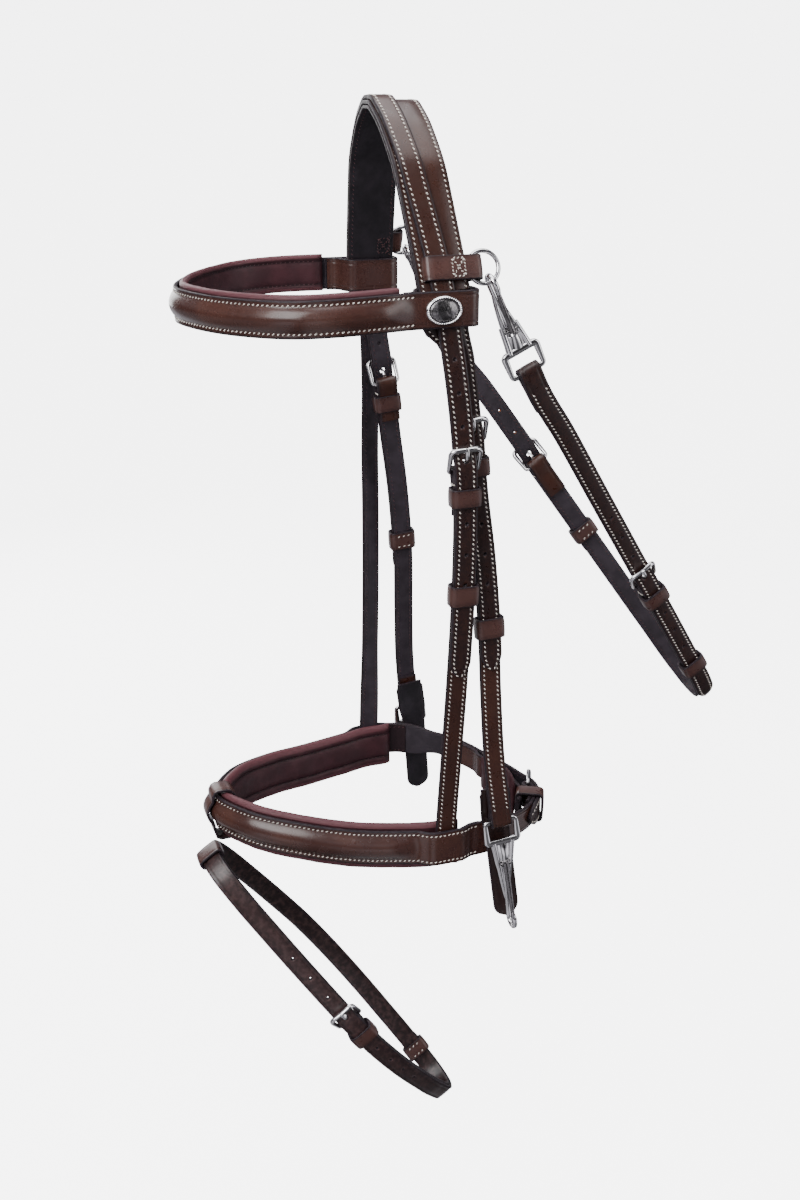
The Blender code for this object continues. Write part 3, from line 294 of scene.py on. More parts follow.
class Graph:
    """Builds a finish's nodes round one Principled shader."""

    def __init__(self, name: str) -> None:
        """Starts an empty finish of that name."""
        self.material = bpy.data.materials.new(name)
        self.material.use_nodes = True
        self.nodes, self.links = self.material.node_tree.nodes, self.material.node_tree.links
        self.shader = self.nodes["Principled BSDF"]
        self.where = self.nodes.new("ShaderNodeTexCoord").outputs["Object"]

    def set(self, **values: float | tuple) -> None:
        """Sets sockets of the shader that are the same all over."""
        for socket, value in values.items():
            self.shader.inputs[socket.replace("_", " ").title().replace("Ior", "IOR")].default_value = value

    def add(self, kind: str, inputs: dict | None = None, **settings: object) -> Node:
        """Adds a node.

        Args:
            kind: The node's type, without its usual beginning.
            inputs: Values or other nodes' outputs for its sockets.
            settings: Its own settings.

        Returns:
            The node.
        """
        made = self.nodes.new("ShaderNode" + kind)
        for key, value in settings.items():
            setattr(made, key, value)
        for socket, value in (inputs or {}).items():
            if isinstance(value, Socket):
                self.links.new(value, made.inputs[socket])
            else:
                made.inputs[socket].default_value = value
        return made

    def grain(self, scale: float, detail: float = 3.0, rough: float = 0.55) -> Socket:
        """Fine noise over the piece, at so many spots a metre."""
        made = self.add("TexNoise", {"Vector": self.where, "Scale": scale, "Detail": detail, "Roughness": rough})
        return made.outputs["Fac"]

    def cells(self, scale: float, feature: str = "DISTANCE_TO_EDGE") -> Socket:
        """A net of cells, like the creases between leather's pores."""
        made = self.add("TexVoronoi", {"Vector": self.where, "Scale": scale}, feature=feature)
        return made.outputs["Distance"]

    def spread(self, value: Socket, low: float, high: float, to_low: float = 0.0, to_high: float = 1.0) -> Socket:
        """A value carried smoothly from one range to another."""
        made = self.add("MapRange", {0: value, 1: low, 2: high, 3: to_low, 4: to_high}, interpolation_type="SMOOTHSTEP")
        return made.outputs[0]

    def mix(self, share: Socket, first: object, second: object) -> Socket:
        """Two colours mixed by a share."""
        made = self.add("Mix", data_type="RGBA")
        self.links.new(share, made.inputs["Factor"])
        for socket, value in ((made.inputs["A"], first), (made.inputs["B"], second)):
            if isinstance(value, Socket):
                self.links.new(value, socket)
            else:
                socket.default_value = (*value, 1.0)
        return made.outputs["Result"]

    def bump(self, height: Socket, depth: float, strength: float = 1.0, over: Socket | None = None) -> Socket:
        """A bump of that depth in metres, laid over another where one is given."""
        made = self.add("Bump", {"Height": height, "Distance": depth, "Strength": strength})
        if over is not None:
            self.links.new(over, made.inputs["Normal"])
        return made.outputs["Normal"]

    def finish(self, colour: Socket, roughness: Socket | None = None, bump: Socket | None = None) -> Material:
        """Joins what varies over the piece to the shader and gives the finish."""
        for socket, value in (("Base Color", colour), ("Roughness", roughness), ("Normal", bump)):
            if value is not None:
                self.links.new(value, self.shader.inputs[socket])
        return self.material


@dataclass(frozen=True)
class BridleLeather:
    """Waxed strap leather: a dark ground with warmer clouds, fine pores and darker, burnished edges."""

    name: str = "bridle_leather"
    ground: tuple = (0.042, 0.0165, 0.0125)
    warm: tuple = (0.058, 0.0225, 0.0155)
    rim: tuple = (0.017, 0.0088, 0.0095)
    gloss: float = 0.3
    coat: float = 0.18
    shine: float = 0.4
    pores: float = 0.00006

    def make(self) -> Material:
        """Builds the finish."""
        graph = Graph(self.name)
        graph.set(coat_weight=self.coat, coat_roughness=0.2, specular_ior_level=self.shine)
        clouds = graph.spread(graph.grain(38.0, 2.0), 0.3, 0.72)
        body = graph.mix(clouds, self.ground, self.warm)
        edge = graph.add("Attribute", attribute_name="edge").outputs["Fac"]
        rubbed = graph.spread(graph.grain(260.0, 4.0), 0.3, 0.62, 0.55, 1.0)
        worn = graph.add("Math", {0: edge, 1: rubbed}, operation="MULTIPLY").outputs[0]
        rough = graph.spread(graph.grain(120.0, 4.0, 0.6), 0.25, 0.75, self.gloss - 0.05, self.gloss + 0.07)
        pores = graph.bump(graph.cells(1900.0), self.pores, 0.45)
        creases = graph.bump(graph.grain(620.0, 4.0, 0.5), self.pores * 1.2, 0.5, pores)
        return graph.finish(graph.mix(worn, body, self.rim), rough, creases)


@dataclass(frozen=True)
class EdgePaint:
    """The dark paint on a strap's cut edge, slightly uneven."""

    name: str = "edge_paint"
    dark: tuple = (0.019, 0.0135, 0.0175)
    light: tuple = (0.036, 0.023, 0.029)

    def make(self) -> Material:
        """Builds the finish."""
        graph = Graph(self.name)
        graph.set(specular_ior_level=0.22)
        colour = graph.mix(graph.spread(graph.grain(300.0, 4.0), 0.4, 0.7), self.dark, self.light)
        rough = graph.spread(graph.grain(500.0), 0.3, 0.7, 0.42, 0.56)
        return graph.finish(colour, rough, graph.bump(graph.grain(900.0, 3.0), 0.0001, 0.5))


@dataclass(frozen=True)
class LiningLeather:
    """The near-black lining on the horse's side of each strap, with a soft nap."""

    name: str = "lining_leather"
    dark: tuple = (0.0135, 0.0112, 0.0142)
    light: tuple = (0.024, 0.0195, 0.025)

    def make(self) -> Material:
        """Builds the finish."""
        graph = Graph(self.name)
        graph.set(specular_ior_level=0.3)
        colour = graph.mix(graph.spread(graph.grain(70.0, 6.0), 0.35, 0.7), self.dark, self.light)
        rough = graph.spread(graph.grain(420.0, 5.0), 0.3, 0.7, 0.46, 0.62)
        fibres = graph.bump(graph.grain(2400.0, 4.0), 0.00009, 0.6)
        return graph.finish(colour, rough, graph.bump(graph.cells(1500.0), 0.00005, 0.4, fibres))


@dataclass(frozen=True)
class PaddingLeather:
    """Soft burgundy leather over foam: fine grain, faint stretch lines, a painted sheen that makes its rolled rims
    paler and painted shade in its sewn channels.
    """

    name: str = "padding_leather"
    ground: tuple = (0.04, 0.0135, 0.0175)
    warm: tuple = (0.06, 0.0205, 0.0255)
    # seam is the painted shade laid in the sewn channels; roll is the painted sheen laid on the rolled rims.
    seam: tuple = (0.016, 0.006, 0.0085)
    roll: tuple = (0.115, 0.04, 0.048)

    def make(self) -> Material:
        """Builds the finish."""
        graph = Graph(self.name)
        graph.set(specular_ior_level=0.3)
        clouds = graph.spread(graph.grain(55.0, 5.0), 0.35, 0.7)
        body = graph.mix(clouds, self.ground, self.warm)
        # The edge attribute carries painted shade into the sewn channels and, at -1, painted sheen onto the rolled
        # rims.
        edge = graph.add("Attribute", attribute_name="edge").outputs["Fac"]
        rolled = graph.mix(graph.spread(edge, -1.0, 0.0, 1.0, 0.0), body, self.roll)
        rough = graph.spread(graph.grain(180.0, 5.0), 0.3, 0.7, 0.4, 0.54)
        cells = graph.bump(graph.cells(1300.0), 0.0001, 0.6)
        stretch = graph.bump(graph.grain(240.0, 6.0, 0.7), 0.00035, 0.5, cells)
        return graph.finish(graph.mix(edge, rolled, self.seam), rough, stretch)


@dataclass(frozen=True)
class Thread:
    """Waxed thread, lightly shaded along its twist."""

    name: str
    ground: tuple
    shade: tuple

    def make(self) -> Material:
        """Builds the finish."""
        graph = Graph(self.name)
        graph.set(sheen_weight=0.2)
        wave = {"Vector": graph.where, "Scale": 900.0, "Distortion": 1.5}
        twist = graph.add("TexWave", wave, bands_direction="DIAGONAL").outputs["Fac"]
        colour = graph.mix(graph.spread(twist, 0.1, 0.6, 1.0, 0.0), self.ground, self.shade)
        rough = graph.spread(graph.grain(800.0), 0.3, 0.7, 0.55, 0.72)
        return graph.finish(colour, rough, graph.bump(twist, 0.00008, 0.6))


@dataclass(frozen=True)
class PolishedNickel:
    """Cast hardware with a bright, slightly wavy polish and fine scratches."""

    name: str = "polished_nickel"
    bright: tuple = (0.88, 0.87, 0.88)
    dull: tuple = (0.62, 0.61, 0.62)
    gloss: float = 0.08
    relief: float = 0.00012

    def make(self) -> Material:
        """Builds the finish."""
        graph = Graph(self.name)
        graph.set(metallic=1.0)
        tarnish = graph.spread(graph.grain(140.0, 6.0, 0.7), 0.5, 0.82, 0.0, 0.75)
        rough = graph.spread(graph.grain(600.0, 8.0, 0.75), 0.35, 0.8, self.gloss, self.gloss + 0.09)
        cast = graph.bump(graph.grain(210.0, 2.0), self.relief, 0.45)
        scratches = graph.bump(graph.grain(2600.0, 2.0), 0.00002, 0.4, cast)
        return graph.finish(graph.mix(tarnish, self.bright, self.dull), rough, scratches)


@dataclass(frozen=True)
class StudioPaper:
    """The pale paper of the floor and the wall behind."""

    name: str = "studio_paper"
    pale: tuple = (0.92, 0.92, 0.925)
    glow: float = 5.0

    def make(self) -> Material:
        """Builds the finish."""
        graph = Graph(self.name)
        graph.set(roughness=0.9, emission_color=(1.0, 1.0, 1.0, 1.0), emission_strength=self.glow)
        return graph.finish(graph.mix(graph.grain(3.0), self.pale, tuple(0.985 * v for v in self.pale)))


class Finishes:
    """Every finish of the bridle, made once."""

    def __init__(self) -> None:
        """Makes the finishes."""
        self.leather = BridleLeather().make()
        self.band = BridleLeather("band_leather", (0.056, 0.0235, 0.0195), (0.076, 0.0315, 0.0235),
                                  gloss=0.24, coat=0.3, pores=0.00004).make()
        # Painted sheen: the keepers' leather is a lighter copy of the strap leather, standing in for the light that
        # they catch.
        self.keeper = BridleLeather("keeper_leather", (0.07, 0.033, 0.029), (0.09, 0.041, 0.034)).make()
        # Painted sheen: the flash's leather is a lighter copy of the strap leather, standing in for the light on it.
        self.flash = BridleLeather("flash_leather", (0.1, 0.056, 0.054), (0.125, 0.068, 0.064), gloss=0.34).make()
        self.guard = BridleLeather("guard_leather", (0.026, 0.0105, 0.0082), (0.04, 0.016, 0.0112), gloss=0.36).make()
        self.edge = EdgePaint().make()
        self.raw = EdgePaint("raw_leather", (0.12, 0.034, 0.012), (0.24, 0.075, 0.028)).make()
        self.lining = LiningLeather().make()
        # Painted sheen: the straps' inner faces take a lighter copy of the lining, standing in for the light on them;
        # the crown liner keeps the dark lining.
        self.inside = LiningLeather("strap_lining", (0.028, 0.022, 0.028), (0.045, 0.035, 0.045)).make()
        self.padding = PaddingLeather().make()
        self.cream = Thread("cream_thread", (0.88, 0.83, 0.76), (0.58, 0.52, 0.45)).make()
        self.burgundy = Thread("burgundy_thread", (0.085, 0.022, 0.026), (0.04, 0.01, 0.013)).make()
        self.nickel = PolishedNickel().make()
        self.antique = PolishedNickel("antique_nickel", (0.22, 0.21, 0.215), (0.035, 0.033, 0.035), 0.24, 0.0012).make()
        self.paper = StudioPaper().make()

    @property
    def strap(self) -> list[Material]:
        """A strap's finishes by zone. Its back takes the lighter strap lining, a painted sheen."""
        return [self.leather, self.edge, self.inside]

    @property
    def loop(self) -> list[Material]:
        """A keeper's finishes by zone. Its face and back take the lighter keeper leather, a painted sheen."""
        return [self.keeper, self.edge, self.keeper]


class Skin:
    """Rings of points that grow into one mesh."""

    def __init__(self) -> None:
        """Starts with nothing."""
        self.points: list = []
        self.faces: list = []
        self.zones: list = []
        self.shades: list = []

    def sleeve(self, rings: Sequence[Array], zones: Sequence[int] | int = 0, shades: Sequence[float] | None = None,
               closed: bool = False) -> None:
        """Joins rings of the same count into a closed skin, capped at its ends unless it closes on itself.

        Args:
            rings: The rings in order.
            zones: The finish of each stretch between two of a ring's points, or one for all.
            shades: A value at each of a ring's points: how near a strap's edge it is, from 0 to 1, or on padding the
                painted shade of its channels and, at -1, the painted sheen of its rims.
            closed: Whether the last ring joins the first.
        """
        count, first = len(rings[0]), len(self.points)
        zones = [zones] * count if isinstance(zones, int) else list(zones)
        for ring in rings:
            self.points.extend(map(tuple, ring))
            self.shades.extend(shades if shades is not None else [0.0] * count)
        pairs = [(i, i + 1) for i in range(len(rings) - 1)] + ([(len(rings) - 1, 0)] if closed else [])
        for low, high in pairs:
            a, b = first + low * count, first + high * count
            for k in range(count):
                j = (k + 1) % count
                self.faces.append((a + k, a + j, b + j, b + k))
                self.zones.append(zones[k])
        if not closed:
            last = len(self.points)
            self.faces += [tuple(range(first + count - 1, first - 1, -1)), tuple(range(last - count, last))]
            self.zones += [1 if max(zones) else 0] * 2

    def build(self, name: str, finishes: Sequence[Material], sharp: Sharp = Sharp.STRAP) -> Piece:
        """Makes the mesh.

        Args:
            name: The piece's name.
            finishes: Its finishes, in the zones' order.
            sharp: Which of its edges stay sharp.

        Returns:
            The piece.
        """
        data = bpy.data.meshes.new(name)
        data.from_pydata(self.points, [], self.faces)
        for finish in finishes:
            data.materials.append(finish)
        data.polygons.foreach_set("material_index", [min(zone, len(finishes) - 1) for zone in self.zones])
        # The edge attribute: how near a strap's edge each point is, or on padding its painted seam shade and rim sheen.
        data.attributes.new("edge", "FLOAT", "POINT").data.foreach_set("value", self.shades)
        bm = bmesh.new()
        bm.from_mesh(data)
        bmesh.ops.recalc_face_normals(bm, faces=bm.faces)
        bm.to_mesh(data)
        bm.free()
        data.shade_smooth()
        data.set_sharp_from_angle(angle=radians(sharp.value))
        return add_object(name, data)

    def tube(self, points: Sequence, radii: Sequence[float] | float, closed: bool = False, sides: int = 12,
             normal: Array | None = None, flat: float = 1.0, square: float = 1.0) -> None:
        """A rod through points.

        Args:
            points: The rod's middle line.
            radii: Its radius at each point, or one for all.
            closed: Whether it closes on itself.
            sides: How many sides its section has.
            normal: The way that the section's second axis faces, for a rod that lies in a plane.
            flat: The section's size along its second axis, as a share of the radius.
            square: Below 1 the section has flatter sides.
        """
        line = np.array(points, float)
        radii = [radii] * len(line) if isinstance(radii, (int, float)) else list(radii)
        rings, side = [], None
        for point, tangent, radius in zip(line, headings(line, closed), radii):
            run = unit(tangent)
            second = normal if normal is not None else side
            if second is None:
                second = np.eye(3)[int(np.abs(run).argmin())]
            first = unit(np.cross(second, run))
            side = np.cross(run, first)
            ring = []
            for k in range(sides):
                angle = 2 * pi * (k + 0.5) / sides
                c, s = cos(angle), sin(angle)
                c, s = copysign(abs(c) ** square, c), copysign(abs(s) ** square, s)
                ring.append(point + radius * (c * first + flat * s * side))
            rings.append(np.array(ring))
        self.sleeve(rings, closed=closed)


@dataclass(frozen=True)
class Profile:
    """A strap's section: rounded edges, a groove for the thread and, on a band, a raised middle."""

    thickness: float = STOCK.thickness
    edge: float = 0.0008
    inset: float = 0.003
    groove: float = 0.00028
    crown: float = 0.00025
    shares: tuple = (0.45, 0.2)

    def inner(self, half: float) -> float:
        """How far the thread's groove lies inside the edge, less on a narrow strap."""
        return min(1.0, 2 * half / STOCK.width) * self.inset

    @staticmethod
    def dome(share: float) -> float:
        """How much of the full raise a band has at a share of its half width."""
        return cos(pi / 2 * min(abs(share) / 0.66, 1.0)) ** 0.8

    def marks(self, half: float) -> list[float]:
        """Distances from the middle at which the face has its points, the outermost first."""
        narrow = min(1.0, 2 * half / STOCK.width)
        groove = [half - narrow * (self.inset + step) for step in (-0.0008, 0.0, 0.0008)]
        return [half - min(self.edge, 0.4 * half), *groove, *[half * share for share in self.shares]]

    def section(self, half: float, swell: float) -> tuple[Array, list[int], list[float]]:
        """The section at one place.

        Args:
            half: Half the strap's width there.
            swell: How far its middle is raised there.

        Returns:
            The points as distances across and out, the zone after each, and how near each is to the edge.
        """
        thick, marks = self.thickness / 2, self.marks(half)
        edge = half - marks[0]
        points, zones, shades = [], [], []

        def put(a: float, h: float, zone: Zone) -> None:
            """Adds a point, with its zone and how near the edge it is."""
            points.append((a, h))
            zones.append(zone.value)
            shades.append(exp(-max(half - abs(a), 0.0) / 0.0016) if zone is Zone.FACE else 1.0)

        faces = [*[-m for m in marks], 0.0, *marks[::-1]]
        for k, a in enumerate(faces):
            dip = self.groove if k in (2, len(faces) - 3) else 0.0
            rise = self.crown * (1.0 - (a / half) ** 2) + swell * self.dome(a / half)
            put(a, thick + rise - dip, Zone.EDGE if k == len(faces) - 1 else Zone.FACE)
        corner = edge * (1.0 - sqrt(0.5))
        rim = ((half - corner, thick - corner), (half, thick - edge), (half, edge - thick),
               (half - corner, corner - thick))
        for a, h in rim:
            put(a, h, Zone.EDGE)
        backs = [marks[0], *[half * share for share in self.shares], 0.0,
                 *[-half * share for share in self.shares[::-1]], -marks[0]]
        for k, a in enumerate(backs):
            put(a, -thick + swell * self.dome(a / half), Zone.EDGE if k == len(backs) - 1 else Zone.BACK)
        for a, h in rim:
            put(-a, -h, Zone.EDGE)
        return np.array(points), zones, shades


BAND = Profile(shares=(0.6, 0.54, 0.47, 0.38, 0.28, 0.14), groove=0.00035, crown=0.0)
LOOP = Profile(thickness=STOCK.keeper, edge=0.0006, inset=0.0017, groove=0.00018, crown=0.0002)


@dataclass
class Ribbon:
    """A run of leather: places down its middle, with its half width and raise at each."""

    places: list[Place] = field(default_factory=list)
    halves: list[float] = field(default_factory=list)
    swells: list[float] = field(default_factory=list)
    closed: bool = False

    def add(self, place: Place, half: float, swell: float = 0.0) -> None:
        """Takes one more place."""
        self.places.append(place)
        self.halves.append(half)
        self.swells.append(swell)

    def squared(self) -> None:
        """Turns every place's face square to the way the ribbon really runs."""
        points, turned = np.array([place.point for place in self.places]), []
        for place, run in zip(self.places, headings(points, self.closed)):
            out = unit(np.cross(unit(run), place.across))
            out = out if np.dot(out, place.outward) > 0 else -out
            turned.append(Place(place.point, unit(run), place.across, out))
        self.places = turned

    def skin(self, profile: Profile) -> Skin:
        """The ribbon's skin with that section."""
        rings, zones, shades = [], [], []
        for place, half, swell in zip(self.places, self.halves, self.swells):
            section, zones, shades = profile.section(half, swell)
            rings.append(place.point + section[:, :1] * place.across + section[:, 1:] * place.outward)
        made = Skin()
        made.sleeve(rings, zones, shades, self.closed)
        return made

    def line(self, profile: Profile, hand: float, under: bool = False) -> tuple[Array, Array]:
        """The thread's line along one edge.

        Args:
            profile: The strap's section.
            hand: 1 or -1, for the edge across the strap.
            under: Whether the line is on the strap's back.

        Returns:
            Its points and the way out of the face at each.
        """
        points, normals = [], []
        for place, half in zip(self.places, self.halves):
            inset = profile.inner(half)
            height = profile.thickness / 2 + profile.crown * (1.0 - (1.0 - inset / half) ** 2) - profile.groove
            height = -profile.thickness / 2 if under else height
            points.append(place.at(0.0, hand * (half - inset), height))
            normals.append(-place.outward if under else place.outward)
        return np.array(points), np.array(normals)

    def lines(self, profile: Profile, under: bool = False, leave: Pair = (0.0, 0.0)) -> list[tuple]:
        """The thread's lines along both edges, with the lengths that are left plain at their ends."""
        return [(*self.line(profile, hand, under), leave) for hand in (1.0, -1.0)]

    def cut(self, keep: Sequence[int]) -> "Ribbon":
        """The ribbon at some of its places."""
        return Ribbon(*([values[k] for k in keep] for values in (self.places, self.halves, self.swells)))


@dataclass(frozen=True)
class Stitching:
    """A row of slanted stitches in waxed thread."""

    pitch: float = 0.0034
    length: float = 0.0023
    radius: float = 0.0005
    slant: float = radians(33.0)
    sides: int = 6
    ahead: float = 0.0006
    shape: tuple = ((-0.5, 0.35, -0.3), (-0.3, 0.92, 0.25), (0.0, 1.0, 0.42), (0.3, 0.92, 0.25), (0.5, 0.35, -0.3))

    def sew(self, skin: Skin, points: Array, normals: Array, leave: Pair = (0.001, 0.001)) -> None:
        """Sews along a line.

        Args:
            skin: What the stitches are added to.
            points: The line's points.
            normals: The way out of the leather at each.
            leave: The lengths left plain at the line's two ends.
        """
        along = lengths(points)
        room = along[-1] - sum(leave)
        count = int(room / self.pitch)
        turns = [2 * pi * k / self.sides for k in range(self.sides)]
        for at in leave[0] + (np.arange(count) + 0.5) * (room / max(count, 1)):
            spot, out = between(at, along, points), unit(between(at, along, normals))
            run = unit(between(at + self.ahead, along, points) - spot)
            if not run.any():
                continue
            lean = run * cos(self.slant) + np.cross(out, run) * sin(self.slant)
            side = unit(np.cross(out, lean))
            rings = []
            for share, fat, rise in self.shape:
                middle, wide = spot + lean * share * self.length + out * rise * self.radius, self.radius * fat
                rings.append([middle + wide * (side * cos(t) + out * sin(t)) for t in turns])
            skin.sleeve(rings)


OUTER = Stitching()
INNER = Stitching(length=0.0019, radius=0.00028, sides=4)


class Workshop:
    """Finishes each piece, rides it on its body and notes it in the log."""

    def __init__(self, finishes: Finishes) -> None:
        """Takes the finishes that all pieces are dressed in."""
        self.finishes = finishes

    def fit(self, piece: Piece, body: str, slot: str, *stands_for: str) -> Piece:
        """Sets a piece on its body.

        Args:
            piece: The piece, in place.
            body: The body that it moves with.
            slot: Not used.
            stands_for: The nodes that it is shown in place of.

        Returns:
            The piece.
        """
        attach(piece, body)
        if stands_for:
            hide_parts(*stands_for)
        LOG.info("%s on %s, %d faces", piece.name, body, len(piece.data.polygons))
        return piece

    def thread(self, name: str, body: str, lines: Sequence[tuple], style: Stitching = OUTER,
               cream: bool = True) -> None:
        """Sews lines and sets their thread on a body.

        Args:
            name: The thread's name.
            body: The body that it moves with.
            lines: Each line's points, normals and plain ends.
            style: The stitches' size.
            cream: Whether the thread is cream, or else burgundy.
        """
        skin = Skin()
        for points, normals, leave in lines:
            style.sew(skin, points, normals, leave)
        if skin.points:
            finish = self.finishes.cream if cream else self.finishes.burgundy
            self.fit(skin.build(name, [finish], Sharp.THREAD), body, "leather")

    def metal(self, name: str, skin: Skin, body: str, *stands_for: str, dark: bool = False) -> Piece:
        """Makes a piece of hardware, bright or dark, and sets it on its body."""
        finish = self.finishes.antique if dark else self.finishes.nickel
        return self.fit(skin.build(name, [finish], Sharp.METAL), body, "polished_steel", *stands_for)

    def punch(self, piece: Piece, places: Sequence[Place], radii: Sequence[float], wall: Material) -> None:
        """Punches round holes through a strap. Unused ones draw together in the middle of the leather.

        Args:
            piece: The strap.
            places: The middle of each hole on the strap's face.
            radii: Each hole's radius.
            wall: The finish inside the holes.
        """
        piece.data.materials.append(wall)
        skin, thick, inside = Skin(), STOCK.thickness, len(piece.data.materials) - 1
        for place, radius in zip(places, radii):
            waist = radius if radius > STOCK.hole_radius else 0.3 * radius
            steps = ((-thick, 2 * radius - waist), (0.0, waist), (thick, 2 * radius - waist))
            skin.sleeve([place.oval(r, r, h, 20) for h, r in steps], inside)
        cutter = skin.build("punch", list(piece.data.materials))
        step = piece.modifiers.new("holes", "BOOLEAN")
        step.operation, step.object, step.solver = "DIFFERENCE", cutter, "EXACT"
        bpy.context.view_layer.update()
        cut = bpy.data.meshes.new_from_object(piece.evaluated_get(bpy.context.evaluated_depsgraph_get()))
        piece.modifiers.clear()
        piece.data = cut
        bpy.data.objects.remove(cutter)


@dataclass
class Strap:
    """A flat strap along a route, folded round a bar at either end or cut to a point."""

    name: str
    body: str
    route: Route
    start: float
    end: float
    node: str = ""
    half: float = STOCK.width / 2
    lift: Measure = level
    half_at: Measure | None = None
    shift_at: Measure = level
    twist_at: Measure = level
    swell_at: Measure = level
    fold_start: float | None = None
    fold_end: float | None = None
    tip: bool = False
    tab: float = 0.03
    tab_level: Measure | None = None
    profile: Profile = Profile()
    stitched: bool = True
    sewn: Pair = (0.0, 0.0)
    gap: float = 0.0032
    raw: bool = False

    def width_at(self, s: float) -> float:
        """Half the strap's width at a length along the route."""
        half = self.half_at(s) if self.half_at else self.half
        if self.tip and s > self.end - STOCK.tip:
            share = (s - self.end + STOCK.tip) / STOCK.tip
            half *= max((1.0 - share**2.1) ** 0.72, 0.06)
        return half

    def middle(self, s: float) -> Place:
        """The strap's place at a length along the route."""
        return self.route.place(s).moved(0.0, self.shift_at(s), self.lift(s)).turned(self.twist_at(s))

    def run(self) -> Ribbon:
        """The strap's open run, without its folds."""
        made, last = Ribbon(), self.end - STOCK.tip if self.tip else self.end
        spots = self.route.spots(self.start, last, self.gap)
        if self.tip:
            shares = (0.12, 0.25, 0.38, 0.5, 0.62, 0.73, 0.83, 0.91, 0.97, 1.0)
            spots += [last + STOCK.tip * share for share in shares]
        for s in spots:
            made.add(self.middle(s), self.width_at(s), self.swell_at(s))
        return made

    def folded(self, s: float, bar: float, toward: float) -> Ribbon:
        """The fold round a bar and the tab behind the strap.

        Args:
            s: Where the bar is, along the route.
            bar: The bar's radius.
            toward: 1 where the fold reaches on along the route, or -1.

        Returns:
            The ribbon from the strap round the bar to the tab's end.
        """
        made, place, radius = Ribbon(), self.route.place(s), STOCK.fold(bar)
        half = self.width_at(s)
        for k in range(1, 12):
            angle = pi * k / 12
            spot = place.moved(toward * radius * sin(angle), 0.0, radius * (cos(angle) - 1.0))
            outward = place.outward * cos(angle) + toward * place.run * sin(angle)
            made.add(Place(spot.point, spot.run, spot.across, outward), half)
        deep = -2 * radius
        tab_level = self.tab_level or (lambda at: deep - (STOCK.lap + deep) * ease(abs(at - s), 0.0, 0.012))
        for at in self.route.spots(s, s - toward * self.tab, self.gap):
            spot = self.route.place(at).moved(out=tab_level(at))
            made.add(Place(spot.point, spot.run, spot.across, -spot.outward), half)
        return made

    def ribbon(self) -> tuple[Ribbon, int, int]:
        """The whole strap, and how many places lie before and after its open run."""
        parts, whole = [(self.run(), False)], Ribbon()
        before = after = 0
        if self.fold_start is not None:
            fold = self.folded(self.start, self.fold_start, -1.0)
            parts.insert(0, (fold, True))
            before = len(fold.places)
        if self.fold_end is not None:
            fold = self.folded(self.end, self.fold_end, 1.0)
            parts.append((fold, False))
            after = len(fold.places)
        for part, backwards in parts:
            order = range(len(part.places))
            for k in reversed(order) if backwards else order:
                whole.add(part.places[k], part.halves[k], part.swells[k])
        whole.squared()
        return whole, before, after

    def build(self, shop: Workshop, holes: Sequence[Pair] = ()) -> Piece:
        """Makes the strap, its holes and its thread.

        Args:
            shop: Where it is finished.
            holes: Each hole's length along the route and radius.

        Returns:
            The strap.
        """
        ribbon, before, after = self.ribbon()
        finishes = [shop.finishes.band, *shop.finishes.strap[1:]] if self.profile is BAND else shop.finishes.strap
        piece = ribbon.skin(self.profile).build(self.name, finishes)
        if holes:
            shop.punch(piece, [self.middle(s) for s, _ in holes], [radius for _, radius in holes],
                       shop.finishes.raw if self.raw else shop.finishes.edge)
        shop.fit(piece, self.body, "leather", *([self.node] if self.node else []))
        if self.stitched:
            part = ribbon.cut(range(before, len(ribbon.places) - after))
            for end, under, style in (("_thread", False, OUTER), ("_under_thread", True, INNER)):
                shop.thread(self.name + end, self.body, part.lines(self.profile, under, self.sewn), style, not under)
        return piece


def hole_row(heel: float, numbers: Sequence[int]) -> list[Pair]:
    """A billet's holes, a pitch apart from the wider one that the tongue is in."""
    return [(heel + number * STOCK.hole_pitch - STOCK.hole_reach,
             STOCK.hole_radius if number else 1.75 * STOCK.hole_radius) for number in numbers]


def over_buckle(heel: float) -> Measure:
    """How far a billet rides over the strap that holds its buckle."""
    return lambda s: STOCK.lap * ease(s, heel - STOCK.buckle_length - 0.003, heel - 0.002)


